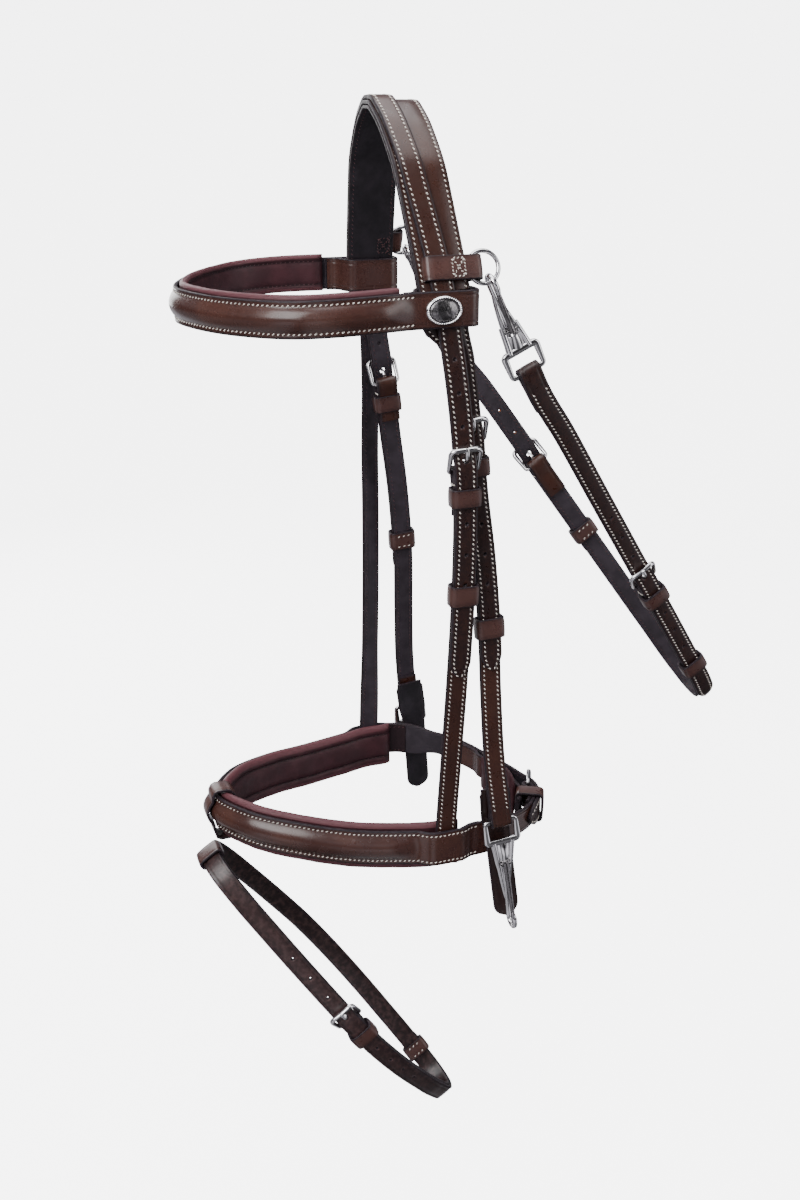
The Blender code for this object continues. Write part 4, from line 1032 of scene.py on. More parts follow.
@dataclass
class Keeper:
    """A leather loop round straps, fixed or running, with its ends sewn together at the back."""

    name: str
    body: str
    place: Place
    low: float
    high: float
    node: str = ""
    half: float = STOCK.width / 2 + STOCK.ease
    length: float = STOCK.keeper_length
    corner: float = 0.0016
    seam: bool = False
    outline: Sequence[Pair] | None = None

    def path(self) -> list[tuple[float, float, float, float]]:
        """Points round the loop with the way out at each, all across and out of the strap."""
        if self.outline is not None:
            points = np.array(self.outline, float)
            normals = np.array([unit((run[1], -run[0])) for run in headings(points, True)])
            outer = points - points.mean(axis=0)
            flips = np.sign((outer * normals).sum(axis=1).mean()) or 1.0
            return [(*point, *(flips * normal)) for point, normal in zip(points, normals)]
        half, found = self.half, []
        for turn, (x, y) in enumerate(((half, self.high), (-half, self.high), (-half, self.low), (half, self.low))):
            cx, cy = x - copysign(self.corner, x), y + (self.corner if y == self.low else -self.corner)
            for k in range(5):
                angle = radians(90.0 * turn + 22.5 * k)
                a, h = cos(angle), sin(angle)
                found.append((cx + self.corner * a, cy + self.corner * h, a, h))
            if turn in (0, 2):
                sign = 1.0 if turn == 0 else -1.0
                for share in (0.75, 0.5, 0.25):
                    a = sign * (half - self.corner) * (2 * share - 1.0)
                    bulge = 0.0003 * (1.0 - (2 * share - 1.0) ** 2)
                    found.append((a, y + sign * bulge, 0.0, sign))
        return found

    def build(self, shop: Workshop) -> Piece:
        """Makes the loop and the thread that closes it."""
        ribbon = Ribbon(closed=True)
        wall = LOOP.thickness / 2
        for a, h, na, nh in self.path():
            point = self.place.at(0.0, a + na * wall, h + nh * wall)
            outward = na * self.place.across + nh * self.place.outward
            ribbon.add(Place(point, outward, self.place.run, outward), self.length / 2)
        ribbon.squared()
        piece = ribbon.skin(LOOP).build(self.name, shop.finishes.loop)
        shop.fit(piece, self.body, "leather", *([self.node] if self.node else []))
        if self.seam:
            self.sew(shop)
        return piece

    def sew(self, shop: Workshop) -> None:
        """Sews the two rows that close a running keeper behind the strap."""
        lines = []
        for along in (-0.3, 0.3):
            points = [self.place.at(along * self.length, a, self.low - LOOP.thickness - 0.0001)
                      for a in np.linspace(-0.0062, 0.0062, 8)]
            lines.append((np.array(points), np.array([-self.place.outward] * 8), (0.0, 0.0)))
        shop.thread(self.name + "_seam", self.body, lines)


def running_keeper(name: str, node: str, route: Route, s: float, length: float) -> Keeper:
    """A loose keeper round a strap and its billet."""
    wall = STOCK.thickness / 2 + 1.5 * STOCK.ease
    return Keeper(name, node, route.place(s), -wall, STOCK.lap + wall, node, length=length, seam=True)


def fixed_keeper(name: str, body: str, route: Route, s: float) -> Keeper:
    """A keeper that is sewn in behind its strap."""
    wall = STOCK.thickness / 2
    return Keeper(name, body, route.place(s), -wall - STOCK.lap + 0.0004, STOCK.lap + wall + STOCK.ease)


@dataclass
class Buckle:
    """A cast buckle: a bowed frame whose heel bar lies in the strap's fold, and its tongue."""

    name: str
    body: str
    tongue_body: str
    place: Place
    width: float = STOCK.width

    def frame_line(self) -> tuple[list[Array], list[float]]:
        """The frame's middle line and its thickness, from the heel round the front bar."""
        low, length = -STOCK.fold(STOCK.bar), STOCK.buckle_length
        half = self.width / 2 + STOCK.ease + 1.2 * STOCK.bar
        corner = 2.2 * STOCK.bar
        points, radii, outline = [], [], []
        for turn, (x, v) in enumerate(((half, length), (-half, length), (-half, 0.0), (half, 0.0))):
            cx, cy = x - copysign(corner, x), v - corner if v else v + 0.6 * corner
            reach = corner if v else 0.6 * corner
            for k in range(7):
                angle = radians(90.0 * turn + 15.0 * k)
                outline.append((cx + corner * cos(angle), cy + reach * sin(angle)))
            if v == length and turn == 0:
                outline += [(a, length) for a in np.linspace(half - corner, corner - half, 9)[1:-1]]
            if turn == 2:
                outline += [(a, 0.0) for a in np.linspace(corner - half, half - corner, 7)[1:-1]]
        for a, v in outline:
            share = v / length
            bow = 0.0009 * (1.0 - (a / half) ** 2) * share
            points.append(self.place.at(-v, a, low + (STOCK.buckle_rise - low) * share**0.85 + bow))
            radii.append(STOCK.bar * (1.0 + 0.28 * ease(share, 0.2, 0.9)))
        return points, radii

    def build(self, shop: Workshop) -> None:
        """Makes the frame and the tongue."""
        skin = Skin()
        skin.tube(*self.frame_line(), closed=True, sides=14, square=0.85)
        shop.metal(self.name + "_cast_frame", skin, self.body, self.name + "_frame")
        low, rest = -STOCK.fold(STOCK.bar), STOCK.buckle_rise + STOCK.bar + 0.0011
        eye, reach = STOCK.bar + 0.001, STOCK.hole_reach
        side = [(eye * cos(a), low + eye * sin(a)) for a in map(radians, range(-90, -281, -19))]
        side += [(reach - 0.0052, low + eye), (reach - 0.0026, low + 0.0017), (reach - 0.0006, low + 0.0028),
                 (reach - 0.0002, low + 0.0056), (reach + 0.0004, rest - 0.0018), (reach + 0.002, rest - 0.0005),
                 (STOCK.buckle_length - 0.0028, rest), (STOCK.buckle_length, rest + 0.0002),
                 (STOCK.buckle_length + 0.0014, rest), (STOCK.buckle_length + 0.0019, rest - 0.0002)]
        radii = [0.00085] * 11 + [0.00085, 0.0009, 0.0009, 0.0009, 0.00095, 0.001, 0.0011, 0.0011, 0.0009, 0.0004]
        skin = Skin()
        skin.tube([self.place.at(-u, 0.0, h) for u, h in side], radii, sides=10, normal=self.place.across, flat=1.25)
        shop.metal(self.name + "_cast_tongue", skin, self.tongue_body, self.name + "_tongue")


@dataclass
class SnapHook:
    """A cast snap: a square eye, two ribs that meet in a hook, and a sprung gate."""

    name: str
    body: str
    gate_body: str
    place: Place
    reach: float
    eye_half: float = 0.0122
    eye_length: float = 0.0165
    eye_corner: float = 0.0022
    hook_radius: float = 0.0062
    hook_wire: float = 0.0017
    gate_rise: float = 0.0011

    def line(self) -> list[Pair]:
        """The hook's middle line from its side: along from the eye's inner bar, and out."""
        turn = self.reach - self.hook_radius - self.hook_wire
        knots = [(0.3 * self.reach, -0.0019), (0.46 * self.reach, -0.0033), (turn - 0.012, -0.0054),
                 (turn - 0.004, -0.0062)]
        for k in range(13):
            angle = pi * k / 12
            knots.append((turn + self.hook_radius * sin(angle), -self.hook_radius * cos(angle)))
        return knots + [(turn - 0.003, 0.0061), (turn - 0.0062, 0.0057)]

    def build(self, shop: Workshop) -> None:
        """Makes the casting and the gate."""
        at, base, reach, skin = self.place.at, self.eye_length, self.reach, Skin()
        outline = rounded(self.eye_half, self.eye_length, self.eye_corner)
        thick = [0.0024 if v > 0.003 else 0.0017 for _, v in outline]
        skin.tube([at(v, a, 0.0) for a, v in outline], thick, closed=True, sides=16, normal=self.place.outward,
                  flat=0.78, square=0.6)
        for hand in (1.0, -1.0):
            ribs = [(0.0, 0.0074), (0.006, 0.0066), (0.018, 0.0052), (0.32 * reach, 0.0041),
                    (0.46 * reach, 0.0029), (0.6 * reach, 0.0016), (0.7 * reach, 0.0006)]
            points = [at(base + u, hand * a, -0.0004 - 0.0056 * ease(u, 0.0, 0.72 * reach)) for u, a in ribs]
            skin.tube(points, [0.0024, 0.0022, 0.002, 0.0019, 0.0018, 0.0016, 0.0014], sides=12,
                      normal=self.place.outward, flat=1.15)
        web, shield, thin = [], [], ((-1, -0.0006), (1, -0.0006), (1, 0.0006), (-1, 0.0006))
        for u, half in ((0.0, 0.0068), (0.008, 0.0055), (0.024, 0.004), (0.42 * reach, 0.0022), (0.6 * reach, 0.001)):
            back = -0.0012 - 0.005 * ease(u, 0.0, 0.72 * reach)
            web.append([at(base + u, a * half, back + h) for a, h in thin])
        skin.sleeve(web)
        for u, half, ridge in ((-0.0006, 0.0062, 0.0012), (0.004, 0.006, 0.0026), (0.011, 0.0052, 0.003),
                               (0.2 * reach, 0.0042, 0.0022), (0.235 * reach, 0.0036, 0.001)):
            section = ((-1.0, -0.001), (-0.55, 0.62 * ridge), (-0.12, ridge), (0.12, ridge), (0.55, 0.62 * ridge),
                       (1.0, -0.001))
            shield.append([at(base + u, a * half, h) for a, h in section])
        skin.sleeve(shield)
        hook = Route([at(base + u, 0.0, h) for u, h in self.line()], across=self.place.across)
        spots = hook.spots(0.0, hook.length, 0.0012)
        radii = [self.hook_wire * (1.0 - 0.35 * ease(s, hook.length - 0.004, hook.length)) for s in spots]
        skin.tube([hook.point(s) for s in spots], radii, sides=12, normal=self.place.across, flat=1.15)
        shop.metal(self.name + "_casting", skin, self.body, self.name + "_body")
        self.build_gate(shop)

    def build_gate(self, shop: Workshop) -> None:
        """Makes the sprung gate, its pin and its thumb rib."""
        at, base = self.place.at, self.eye_length
        hinge, latch = base + 0.24 * self.reach, base + self.reach - self.hook_radius - self.hook_wire - 0.0016
        end = self.hook_radius - self.hook_wire - 0.0008
        skin, rings = Skin(), []
        for share in np.linspace(0.0, 1.0, 14):
            u = hinge + (latch - hinge) * share
            half = 0.0024 - 0.0008 * share
            middle = 0.0016 + (end - 0.0016) * ease(share, 0.0, 0.85)
            rings.append([at(u, half * cos(t), middle + self.gate_rise * sin(t) * (1.0 + 0.4 * sin(t)))
                          for t in full_turn(12)])
        skin.sleeve(rings)
        skin.tube([at(hinge + 0.0012, a, 0.0008) for a in (-0.0042, -0.004, 0.004, 0.0042)],
                  [0.0006, 0.001, 0.001, 0.0006], sides=12)
        shop.metal(self.name + "_sprung_gate", skin, self.gate_body, self.name + "_gate", dark=True)


@dataclass
class Padding:
    """A soft roll behind a band: leather over foam, rolled at both edges, with sewn channels inside."""

    name: str
    body: str
    node: str
    route: Route
    start: float
    end: float
    half: float
    thickness: float
    above: float
    below: float
    swell_at: Measure
    channel: float
    pinch_at: Measure = level
    fill: float = 0.75
    seams: tuple = (22, 30)

    def ring(self, s: float) -> tuple[Array, list[float]]:
        """The section at a length along the route, and a shade for each point: the painted shade deep in a seam, or -1
        for the painted sheen on a rolled rim.
        """
        place, end = self.route.place(s), min(s - self.start, self.end - s)
        full = self.thickness * (0.4 + 0.6 * sqrt(max(0.0, 1.0 - (1.0 - min(end / 0.01, 1.0)) ** 2)))
        full *= 1.0 - 0.45 * self.pinch_at(s)
        face, seam, rim = -STOCK.thickness / 2 - 2 * STOCK.ease, self.channel, 0.46 * full
        top, bottom = -(self.half + self.above * (1.0 - 0.7 * self.pinch_at(s))), self.half + self.below
        middle, wide = (top + bottom) / 2, (bottom - top) / 2
        points = [(share * self.half, face + 0.75 * self.swell_at(s) * Profile.dome(share) - 0.0003)
                  for share in np.linspace(-1.0, 1.0, 13)]
        shades = [0.0] * 13

        def roll(edge: float, hand: float) -> None:
            """Adds the half round of a rim, at the lower edge or the upper one."""
            for k in range(7):
                angle = pi * (k / 6 if hand > 0 else 1.0 - k / 6)
                points.append((edge - hand * rim + hand * rim * sin(angle), face - rim + rim * cos(angle) - 0.0004))
                # A shade of -1 asks for the painted sheen of the rolled rim.
                shades.append(-1.0)

        roll(bottom, 1.0)
        # The last value of each is the painted shade of the sewn channel, darkest at its floor.
        inner = [(bottom - 0.62 * seam, 1.04, 0.0), (bottom - seam + 0.0012, 0.97, 0.1), (bottom - seam, 0.8, 0.9),
                 (bottom - seam - 0.0012, 0.93, 0.1)]
        for share in (0.42, 0.25, 0.0, -0.25, -0.42):
            inner.append((middle + share * wide, 1.0 + 0.05 * (1.0 - (share / 0.45) ** 2), 0.0))
        inner += [(top + seam + 0.0012, 0.93, 0.1), (top + seam, 0.8, 0.9), (top + seam - 0.0012, 0.97, 0.1),
                  (top + 0.62 * seam, 1.04, 0.0)]
        for a, depth, shade in inner:
            points.append((a, face - depth * full))
            shades.append(shade)
        roll(top, -1.0)
        spread = []
        for a, h in points:
            point = place.at(0.0, a, h)
            ripple = noise.noise(Vector(point) * 120.0) * 0.00035 + noise.noise(Vector(point) * 45.0) * 0.0005
            spread.append(place.at(0.0, a, h + ripple * (1.0 if h < face - 0.001 else 0.0)))
        return np.array(spread), shades

    def build(self, shop: Workshop) -> Piece:
        """Makes the padding and the thread in its channels."""
        spots, skin = self.route.spots(self.start, self.end, 0.003), Skin()
        rings, shades = zip(*(self.ring(s) for s in spots))
        skin.sleeve(rings, 0, shades[-1])
        piece = skin.build(self.name, [shop.finishes.padding], Sharp.PADDING)
        shop.fit(piece, self.body, "padding", self.node)
        normals = np.array([-self.route.place(s).outward for s in spots])
        lines = [(np.array([ring[k] for ring in rings]), normals, (0.006, 0.006)) for k in self.seams]
        shop.thread(self.name + "_channel_thread", self.body, lines, INNER, False)
        return piece


class Head:
    """The horse's head that the straps follow: their routes round it."""

    leg_half = 0.08
    leg_drop = 0.118
    crown_end = 0.0085
    half = 0.089
    noseband_drop = 0.398
    brow_reach = 0.15
    brow_half = 0.0985
    nose_reach = 0.143
    nose_half = 0.0885
    chin_reach = 0.1035
    throat_drop = 0.303
    throat_slope = 0.684
    throat_lead = 0.009
    throat_hang = radians(25.5)
    noseband_height = 0.028
    flash_length = 0.339
    flash_half = 0.067
    flash_ahead = 0.007
    flash_below = 0.03
    flash_slope = radians(54.9)
    far_cheek_ahead = 0.008
    far_hanger_ahead = 0.0055
    hanger_end = 0.012
    ring_drop = 0.0975
    ring_radius = 0.0106
    ring_wire = 0.0015
    hook_play = 0.0009

    def __init__(self) -> None:
        """Works out the levels that the routes share."""
        self.brow_level = -self.leg_drop
        self.nose_level = self.brow_level - self.noseband_drop
        self.lifts = (STOCK.lining / 2, STOCK.lining + STOCK.gap + STOCK.thickness / 2,
                      STOCK.lining + 2 * STOCK.gap + 1.5 * STOCK.thickness)
        self.arch = self.lay_arch()

    def lay_arch(self) -> Route:
        """The crown's underside over the poll, from the near end of its leg to the far one."""
        shape = ((0.0, 0.0), (0.07, 0.0), (0.15, 0.028), (0.3, 0.093), (0.44, 0.185), (0.585, 0.305), (0.69, 0.455),
                 (0.785, 0.605), (0.935, 0.855), (1.0, 1.0))
        near = [(self.leg_half * x, -0.0005 + 0.088 * self.leg_drop * z, -self.leg_drop * z) for x, z in shape]
        return Route(near[::-1] + [(-x, y, z) for x, y, z in near[1:]], across=np.array([0.0, -1.0, 0.0]))

    def hanger(self, side: Side) -> Route:
        """The noseband's hanging strap, from the browband to the noseband."""
        shape = ((-0.001, 0.0085, 0.0), (0.0, 0.01, 0.03), (0.0055, 0.0138, 0.118), (0.0098, 0.0172, 0.22),
                 (0.01, 0.019, 0.357), (0.0088, 0.019, 0.47), (0.0055, 0.0175, 0.646), (0.0022, 0.0152, 0.81))
        ahead = self.far_hanger_ahead if side is Side.FAR else 0.0
        line = [(side.value * (self.half + x), y - ahead * ease(z, 0.05, 0.4),
                 self.brow_level - self.noseband_drop * z) for x, y, z in shape]
        tall = self.noseband_height
        for y, at in ((0.0008, self.nose_level + tall / 2), (0.0, self.nose_level - tall / 4)):
            line.append((side.value * self.nose_half, self.hanger_end - ahead + y, at))
        return Route(line, outward=np.array([side.value, 0.0, 0.0]))

    def cheek(self, side: Side) -> Route:
        """The cheekpiece, from the browband to the bit snap's bar."""
        shape = ((-0.0062, 0.017, 0.0), (-0.0055, 0.0188, 0.03), (-0.0046, 0.0222, 0.1), (-0.0047, 0.0272, 0.19),
                 (-0.0047, 0.032, 0.31), (-0.0025, 0.038, 0.43), (0.001, 0.0423, 0.57), (0.006, 0.0435, 0.7),
                 (0.011, 0.045, 0.81), (0.018, 0.05, 0.945))
        ahead = self.far_cheek_ahead if side is Side.FAR else 0.0
        line = [(side.value * (self.half + x), y - ahead * (1.0 - z), self.brow_level - self.noseband_drop * z)
                for x, y, z in shape]
        return Route(line, outward=np.array([side.value, 0.0, 0.0]))

    def brow(self) -> Route:
        """The browband's leather, from its sewn near end round the brow to the far one."""
        inner, outer, rear = self.leg_half - 0.0065, self.leg_half + 0.013, 0.029
        half, reach = self.brow_half, self.brow_reach
        near = [(outer - 0.002, -0.0215), (outer - 0.0023, -0.0175), (outer - 0.005, -0.0135),
                (inner + 0.0065, -0.0105), (inner + 0.0012, -0.007), (inner, 0.001), (inner, 0.01),
                (inner, rear - 0.009), (inner + 0.001, rear - 0.002), ((inner + outer) / 2, rear + 0.0005),
                (outer - 0.001, rear - 0.002), (outer, rear - 0.009), (outer + 0.0005, 0.004), (half - 0.005, -0.016),
                (half - 0.001, -0.039), (half, -0.066), (0.945 * half, -0.6 * reach), (0.7 * half, -0.795 * reach),
                (0.33 * half, -0.945 * reach)]
        line = near + [(0.0, -reach)] + [(-x, y) for x, y in near[::-1]]
        return Route([(x, y, self.brow_level - 0.003 * ease(-y, 0.02, reach)) for x, y in line], across=DOWN)

    def nose(self) -> Route:
        """The noseband's leather, from the link behind the chin up the near side, over the nose and back."""
        chin, nose, reach = self.chin_reach, self.nose_half, self.nose_reach
        line = [(-0.018, chin - 0.015), (0.0, chin - 0.0079), (0.012, chin - 0.0037), (0.03, chin),
                (0.05, chin - 0.0015), (0.067, chin - 0.012), (0.08, 0.071)]
        side = [(nose - 0.001, 0.046), (nose, 0.03), (nose, 0.018), (nose, 0.004), (nose - 0.0065, -0.022),
                (nose - 0.0175, -0.4 * reach), (0.645 * nose, -0.632 * reach), (0.36 * nose, -0.885 * reach)]
        line += [*side, (0.0, -reach), *[(-x, y) for x, y in side[:0:-1]], (-0.079, 0.046), (-0.064, 0.0645),
                 (-0.042, chin - 0.0245), line[0]]
        return Route([(x, y, self.nose_level + 0.01 * ease(-y, 0.03, reach)) for x, y in line], across=DOWN)

    def flash(self) -> Route:
        """The flash strap: from above its buckle down, round, up the far side, across and on over itself."""
        shape = ((0.0, 0.0), (0.13, 0.002), (0.27, 0.019), (0.49, 0.088), (0.66, 0.183), (0.865, 0.324),
                 (1.0, 0.457), (0.985, 0.575), (0.865, 0.693), (0.67, 0.802), (0.42, 0.914), (0.15, 0.988))
        near = [(self.flash_half * x, self.flash_length * d) for x, d in shape]
        far = [(-x, d) for x, d in near[::-1]]
        below = near[6:] + [(0.0, self.flash_length)]
        line = below + far[:-1] + near[:6] + below + far[:len(shape) - 4]
        top = (-self.nose_reach - self.flash_ahead, self.nose_level - self.flash_below)
        down = (cos(self.flash_slope), -sin(self.flash_slope))
        points = [(x, top[0] + down[0] * d, top[1] + down[1] * d) for x, d in line]
        return Route(points, across=np.array([0.0, -down[1], down[0]]))

    def ring_place(self, side: Side) -> Place:
        """Where a ring hangs on the crown's leg: running down, with its way across to the rear."""
        spot = self.arch.place(self.arch.nearest((side.value * self.leg_half * 0.925, 0.0, -self.ring_drop)))
        down = -copysign(1.0, spot.run[2]) * spot.run
        return Place(spot.point, unit((down[0], 0.0, down[2])), np.array([0.0, 1.0, 0.0]),
                     unit((spot.outward[0], 0.0, spot.outward[2])))

    def ring_height(self) -> float:
        """How far the ring's wire stands over the crown's underside."""
        return self.lifts[1] + STOCK.thickness / 2 + STOCK.ease + self.ring_wire

    def ring_middle(self, side: Side) -> Array:
        """The middle of a ring."""
        reach = STOCK.crown_width / 2 - STOCK.gap
        return self.ring_place(side).at(0.0, reach + self.ring_radius, self.ring_height())

    def throat_snap(self, side: Side) -> Place:
        """A throatlatch snap's place: at its eye's outer bar, running up to the hook in the ring."""
        spot = self.ring_place(side)
        hang = spot.run * cos(self.throat_hang) + spot.across * sin(self.throat_hang)
        up = np.array([0.0, -sin(self.throat_hang), cos(self.throat_hang)])
        outward = np.array([side.value, 0.0, 0.0])
        length = SnapHook.eye_length + Throatlatch.snap_reach - 2 * SnapHook.hook_wire - self.ring_wire - self.hook_play
        hook = self.ring_middle(side) + hang * self.ring_radius
        return Place(hook - up * length, up, np.cross(outward, up), outward)

    def throat(self) -> Route:
        """The throatlatch, from the near snap's eye round under the throat to the far one."""
        start = self.throat_snap(Side.NEAR)
        top = start.point + start.outward * STOCK.fold(STOCK.eye_wire)
        shape = ((0.865, 0.158), (0.706, 0.347), (0.518, 0.584), (0.335, 0.809), (0.2, 0.95), (0.1, 0.99))
        drop, slope = self.throat_drop, self.throat_slope
        near = [top, top - start.run * self.throat_lead]
        near += [(top[0] * x, top[1] + slope * drop * z, top[2] - drop * z) for x, z in shape]
        line = near + [(0.0, top[1] + slope * drop, top[2] - drop)] + [(-x, y, z) for x, y, z in near[::-1]]
        return Route(line, across=unit((0.0, 1.0, slope)))


@dataclass
class Headpiece:
    """The crown with its lining and sliphead, and the rings in their keepers."""

    head: Head
    keeper_length: float = 0.016
    ring_fold: float = 0.0062

    def build(self, shop: Workshop) -> None:
        """Makes the crown's layers and the rings."""
        arch, half = self.head.arch, STOCK.crown_width / 2
        start, end = self.head.crown_end, self.head.arch.length - self.head.crown_end
        lining = Profile(thickness=STOCK.lining, crown=0.0, groove=0.0002)
        layers = (("crown_top", "crown_leather", self.head.lifts[1], Profile()),
                  ("crown_liner", "crown_lining", self.head.lifts[0], lining))
        for name, node, lift, profile in layers:
            strap = Strap(name, "headpiece", arch, start, end, node, half=half, lift=lambda _, lift=lift: lift,
                          profile=profile, stitched=profile is not lining, gap=0.0028)
            piece = strap.build(shop)
            if profile is lining:
                piece.data.materials[0] = piece.data.materials[2] = shop.finishes.lining
                shop.thread("crown_liner_thread", "headpiece", strap.ribbon()[0].lines(profile, True), INNER, False)
        Strap("sliphead", "headpiece", arch, start, end, "sliphead_strap", lift=lambda _: self.head.lifts[2],
              shift_at=lambda s: self.ahead(-arch.point(s)[2]), gap=0.0028).build(shop)
        for side in Side:
            self.build_ring(shop, side)

    def ahead(self, depth: float) -> float:
        """How far ahead of the crown's middle the sliphead lies, at a depth under the poll."""
        return 0.0085 - 0.0065 * ease(depth, 0.0, self.head.leg_drop)

    def build_ring(self, shop: Workshop, side: Side) -> None:
        """Makes a ring, its keeper and the box of stitches beside it."""
        head, place, word = self.head, self.head.ring_place(side), side.word
        edge, face = STOCK.crown_width / 2, head.lifts[1] + STOCK.thickness / 2
        front = self.ahead(head.ring_drop) + STOCK.width / 2 + STOCK.ease
        top = max(head.lifts[2] + STOCK.thickness / 2, head.ring_height() + head.ring_wire) + STOCK.ease
        fold = edge - STOCK.gap + head.ring_wire + self.ring_fold
        under = head.ring_height() - head.ring_wire - STOCK.ease
        flat, wall = (top + under) / 2, LOOP.thickness / 2
        round_fold = [(fold - flat + under + (flat - under + wall) * cos(t),
                       flat + (top - flat + wall) * sin(t)) for t in np.linspace(pi / 2, -pi / 2, 11)]
        path = [(-front - wall, face + 0.0002), (-front - wall, face + 0.0022), (-front - wall + 0.0004, top - 0.0004),
                (-front + 0.0012, top + wall - 0.0001), (-0.5 * front, top + wall + 0.0001), (0.0, top + wall + 0.0001),
                (0.5 * edge, top + wall), (0.9 * edge, top + wall - 0.0001), *round_fold, (edge + 0.003, under - wall),
                (edge + 0.0002, under - wall - 0.0002)]
        ribbon = Ribbon()
        for a, h in path:
            way = place.outward if h > flat else -place.outward
            ribbon.add(Place(place.at(0.0, a, h), place.across, place.run, way), self.keeper_length / 2)
        ribbon.squared()
        piece = ribbon.skin(LOOP).build("ring_band_" + word, shop.finishes.loop)
        shop.fit(piece, "headpiece", "leather", "ring_keeper_" + word)
        self.sew_box(shop, f"ring_band_{word}_box", place, top + LOOP.thickness, 0.55 * edge, True)
        self.sew_box(shop, f"ring_band_{word}_inner_box", place, -0.0001, 0.55 * edge, False)
        middle, skin = head.ring_middle(side), Skin()
        circle = [middle + head.ring_radius * (cos(t) * place.run + sin(t) * place.across) for t in full_turn(48)]
        skin.tube(circle, head.ring_wire, closed=True, sides=14, normal=place.outward)
        shop.metal("cast_ring_" + word, skin, "ring_" + word, "ring_" + word)

    def sew_box(self, shop: Workshop, name: str, place: Place, out: float, centre: float, cream: bool) -> None:
        """Sews a box of stitches with a cross in it.

        Args:
            shop: Where it is finished.
            name: The thread's name.
            place: The place that it is measured from.
            out: How far out of that place it lies.
            centre: How far to the rear its middle is.
            cream: Whether it is on the outer face, in cream thread, or else inside, in burgundy.
        """
        lines, tall, half, way = [], 0.0058, 0.0042, place.outward if cream else -place.outward
        corners = [(-tall, centre - half), (tall, centre - half), (tall, centre + half), (-tall, centre + half)]
        for a, b in [*zip(corners, corners[1:] + corners[:1]), (corners[0], corners[2]), (corners[1], corners[3])]:
            points = np.array([place.at(*(np.array(a) * (1 - t) + np.array(b) * t), out) for t in np.linspace(0, 1, 4)])
            lines.append((points, np.array([way] * 4), (0.0002, 0.0002)))
        style = Stitching(pitch=0.0022, length=0.0019, radius=0.00042 if cream else 0.0003)
        shop.thread(name, "headpiece", lines, style, cream)


@dataclass
class Browband:
    """The browband: raised leather with a loop at each end, its padding and an oval boss on each side."""

    head: Head
    height: float = 0.0235
    rise: float = 0.0035
    pad_thickness: float = 0.005
    pad_above: float = 0.003
    boss: tuple = (0.0124, 0.0092)
    bead: float = 0.00058

    def build(self, shop: Workshop) -> None:
        """Makes the leather, the padding and the bosses."""
        head = self.head
        route, half = head.brow(), self.height / 2
        front = route.nearest((head.brow_half, -0.06, head.brow_level))
        sewn = route.nearest((head.brow_half - 0.005, -0.013, head.brow_level))
        loop_end = route.nearest((head.brow_half - 0.004, -0.024, head.brow_level))

        def swell(s: float) -> float:
            """How far the leather's middle is raised."""
            inside = min(s, route.length - s)
            return self.rise * ease(inside, front - 0.048, front - 0.02)

        band = Strap("browband_top", "headpiece", route, 0.0, route.length, "browband_leather", half=half,
                     swell_at=swell, profile=BAND, stitched=False, gap=0.0026)
        band.build(shop)
        ribbon, _, _ = band.ribbon()
        shares = np.linspace(0.0, route.length, len(ribbon.places))
        part = ribbon.cut([k for k, s in enumerate(shares) if sewn <= s <= route.length - sewn])
        shop.thread("browband_thread", "headpiece", part.lines(BAND))
        Padding("browband_roll", "headpiece", "browband_padding", route, loop_end, route.length - loop_end, half,
                self.pad_thickness, self.pad_above, 0.0004, swell, 0.005).build(shop)
        for side in Side:
            self.build_boss(shop, route, side)

    def build_boss(self, shop: Workshop, route: Route, side: Side) -> None:
        """Makes a plain oval boss: a beaded rim round a smooth dome."""
        spot = route.nearest((side.value * (self.head.leg_half + 0.0135), 0.004, self.head.brow_level))
        place = route.place(spot).moved(out=STOCK.thickness / 2 + STOCK.gap / 2)
        wide, tall = self.boss
        steps = ((0.96, 0.0), (1.0, 0.0004), (1.0, 0.001), (0.965, 0.0017), (0.92, 0.002), (0.87, 0.0017),
                 (0.83, 0.0009), (0.79, 0.0008), (0.74, 0.0013), (0.66, 0.0018), (0.52, 0.0023), (0.34, 0.0027),
                 (0.16, 0.0029), (0.03, 0.003))
        for name, part, dark in (("boss_rim_", steps[:8], False), ("boss_dome_", steps[6:], True)):
            skin = Skin()
            skin.sleeve([place.oval(scale * wide, scale * tall, h, 48) for scale, h in part])
            shop.metal(name + side.word, skin, "headpiece", "rosette_" + side.word, dark=dark)
        skin = Skin()
        for centre in place.oval(0.895 * wide, 0.895 * tall, 0.0019, 44):
            rings = []
            for low, fat in ((-0.9, 0.35), (-0.3, 0.92), (0.35, 0.9), (0.9, 0.35)):
                around = [place.run * cos(u) + place.across * sin(u) for u in full_turn(6)]
                rings.append([centre + self.bead * (place.outward * low + fat * way) for way in around])
            skin.sleeve(rings)
        shop.metal("boss_beads_" + side.word, skin, "headpiece", "rosette_" + side.word)


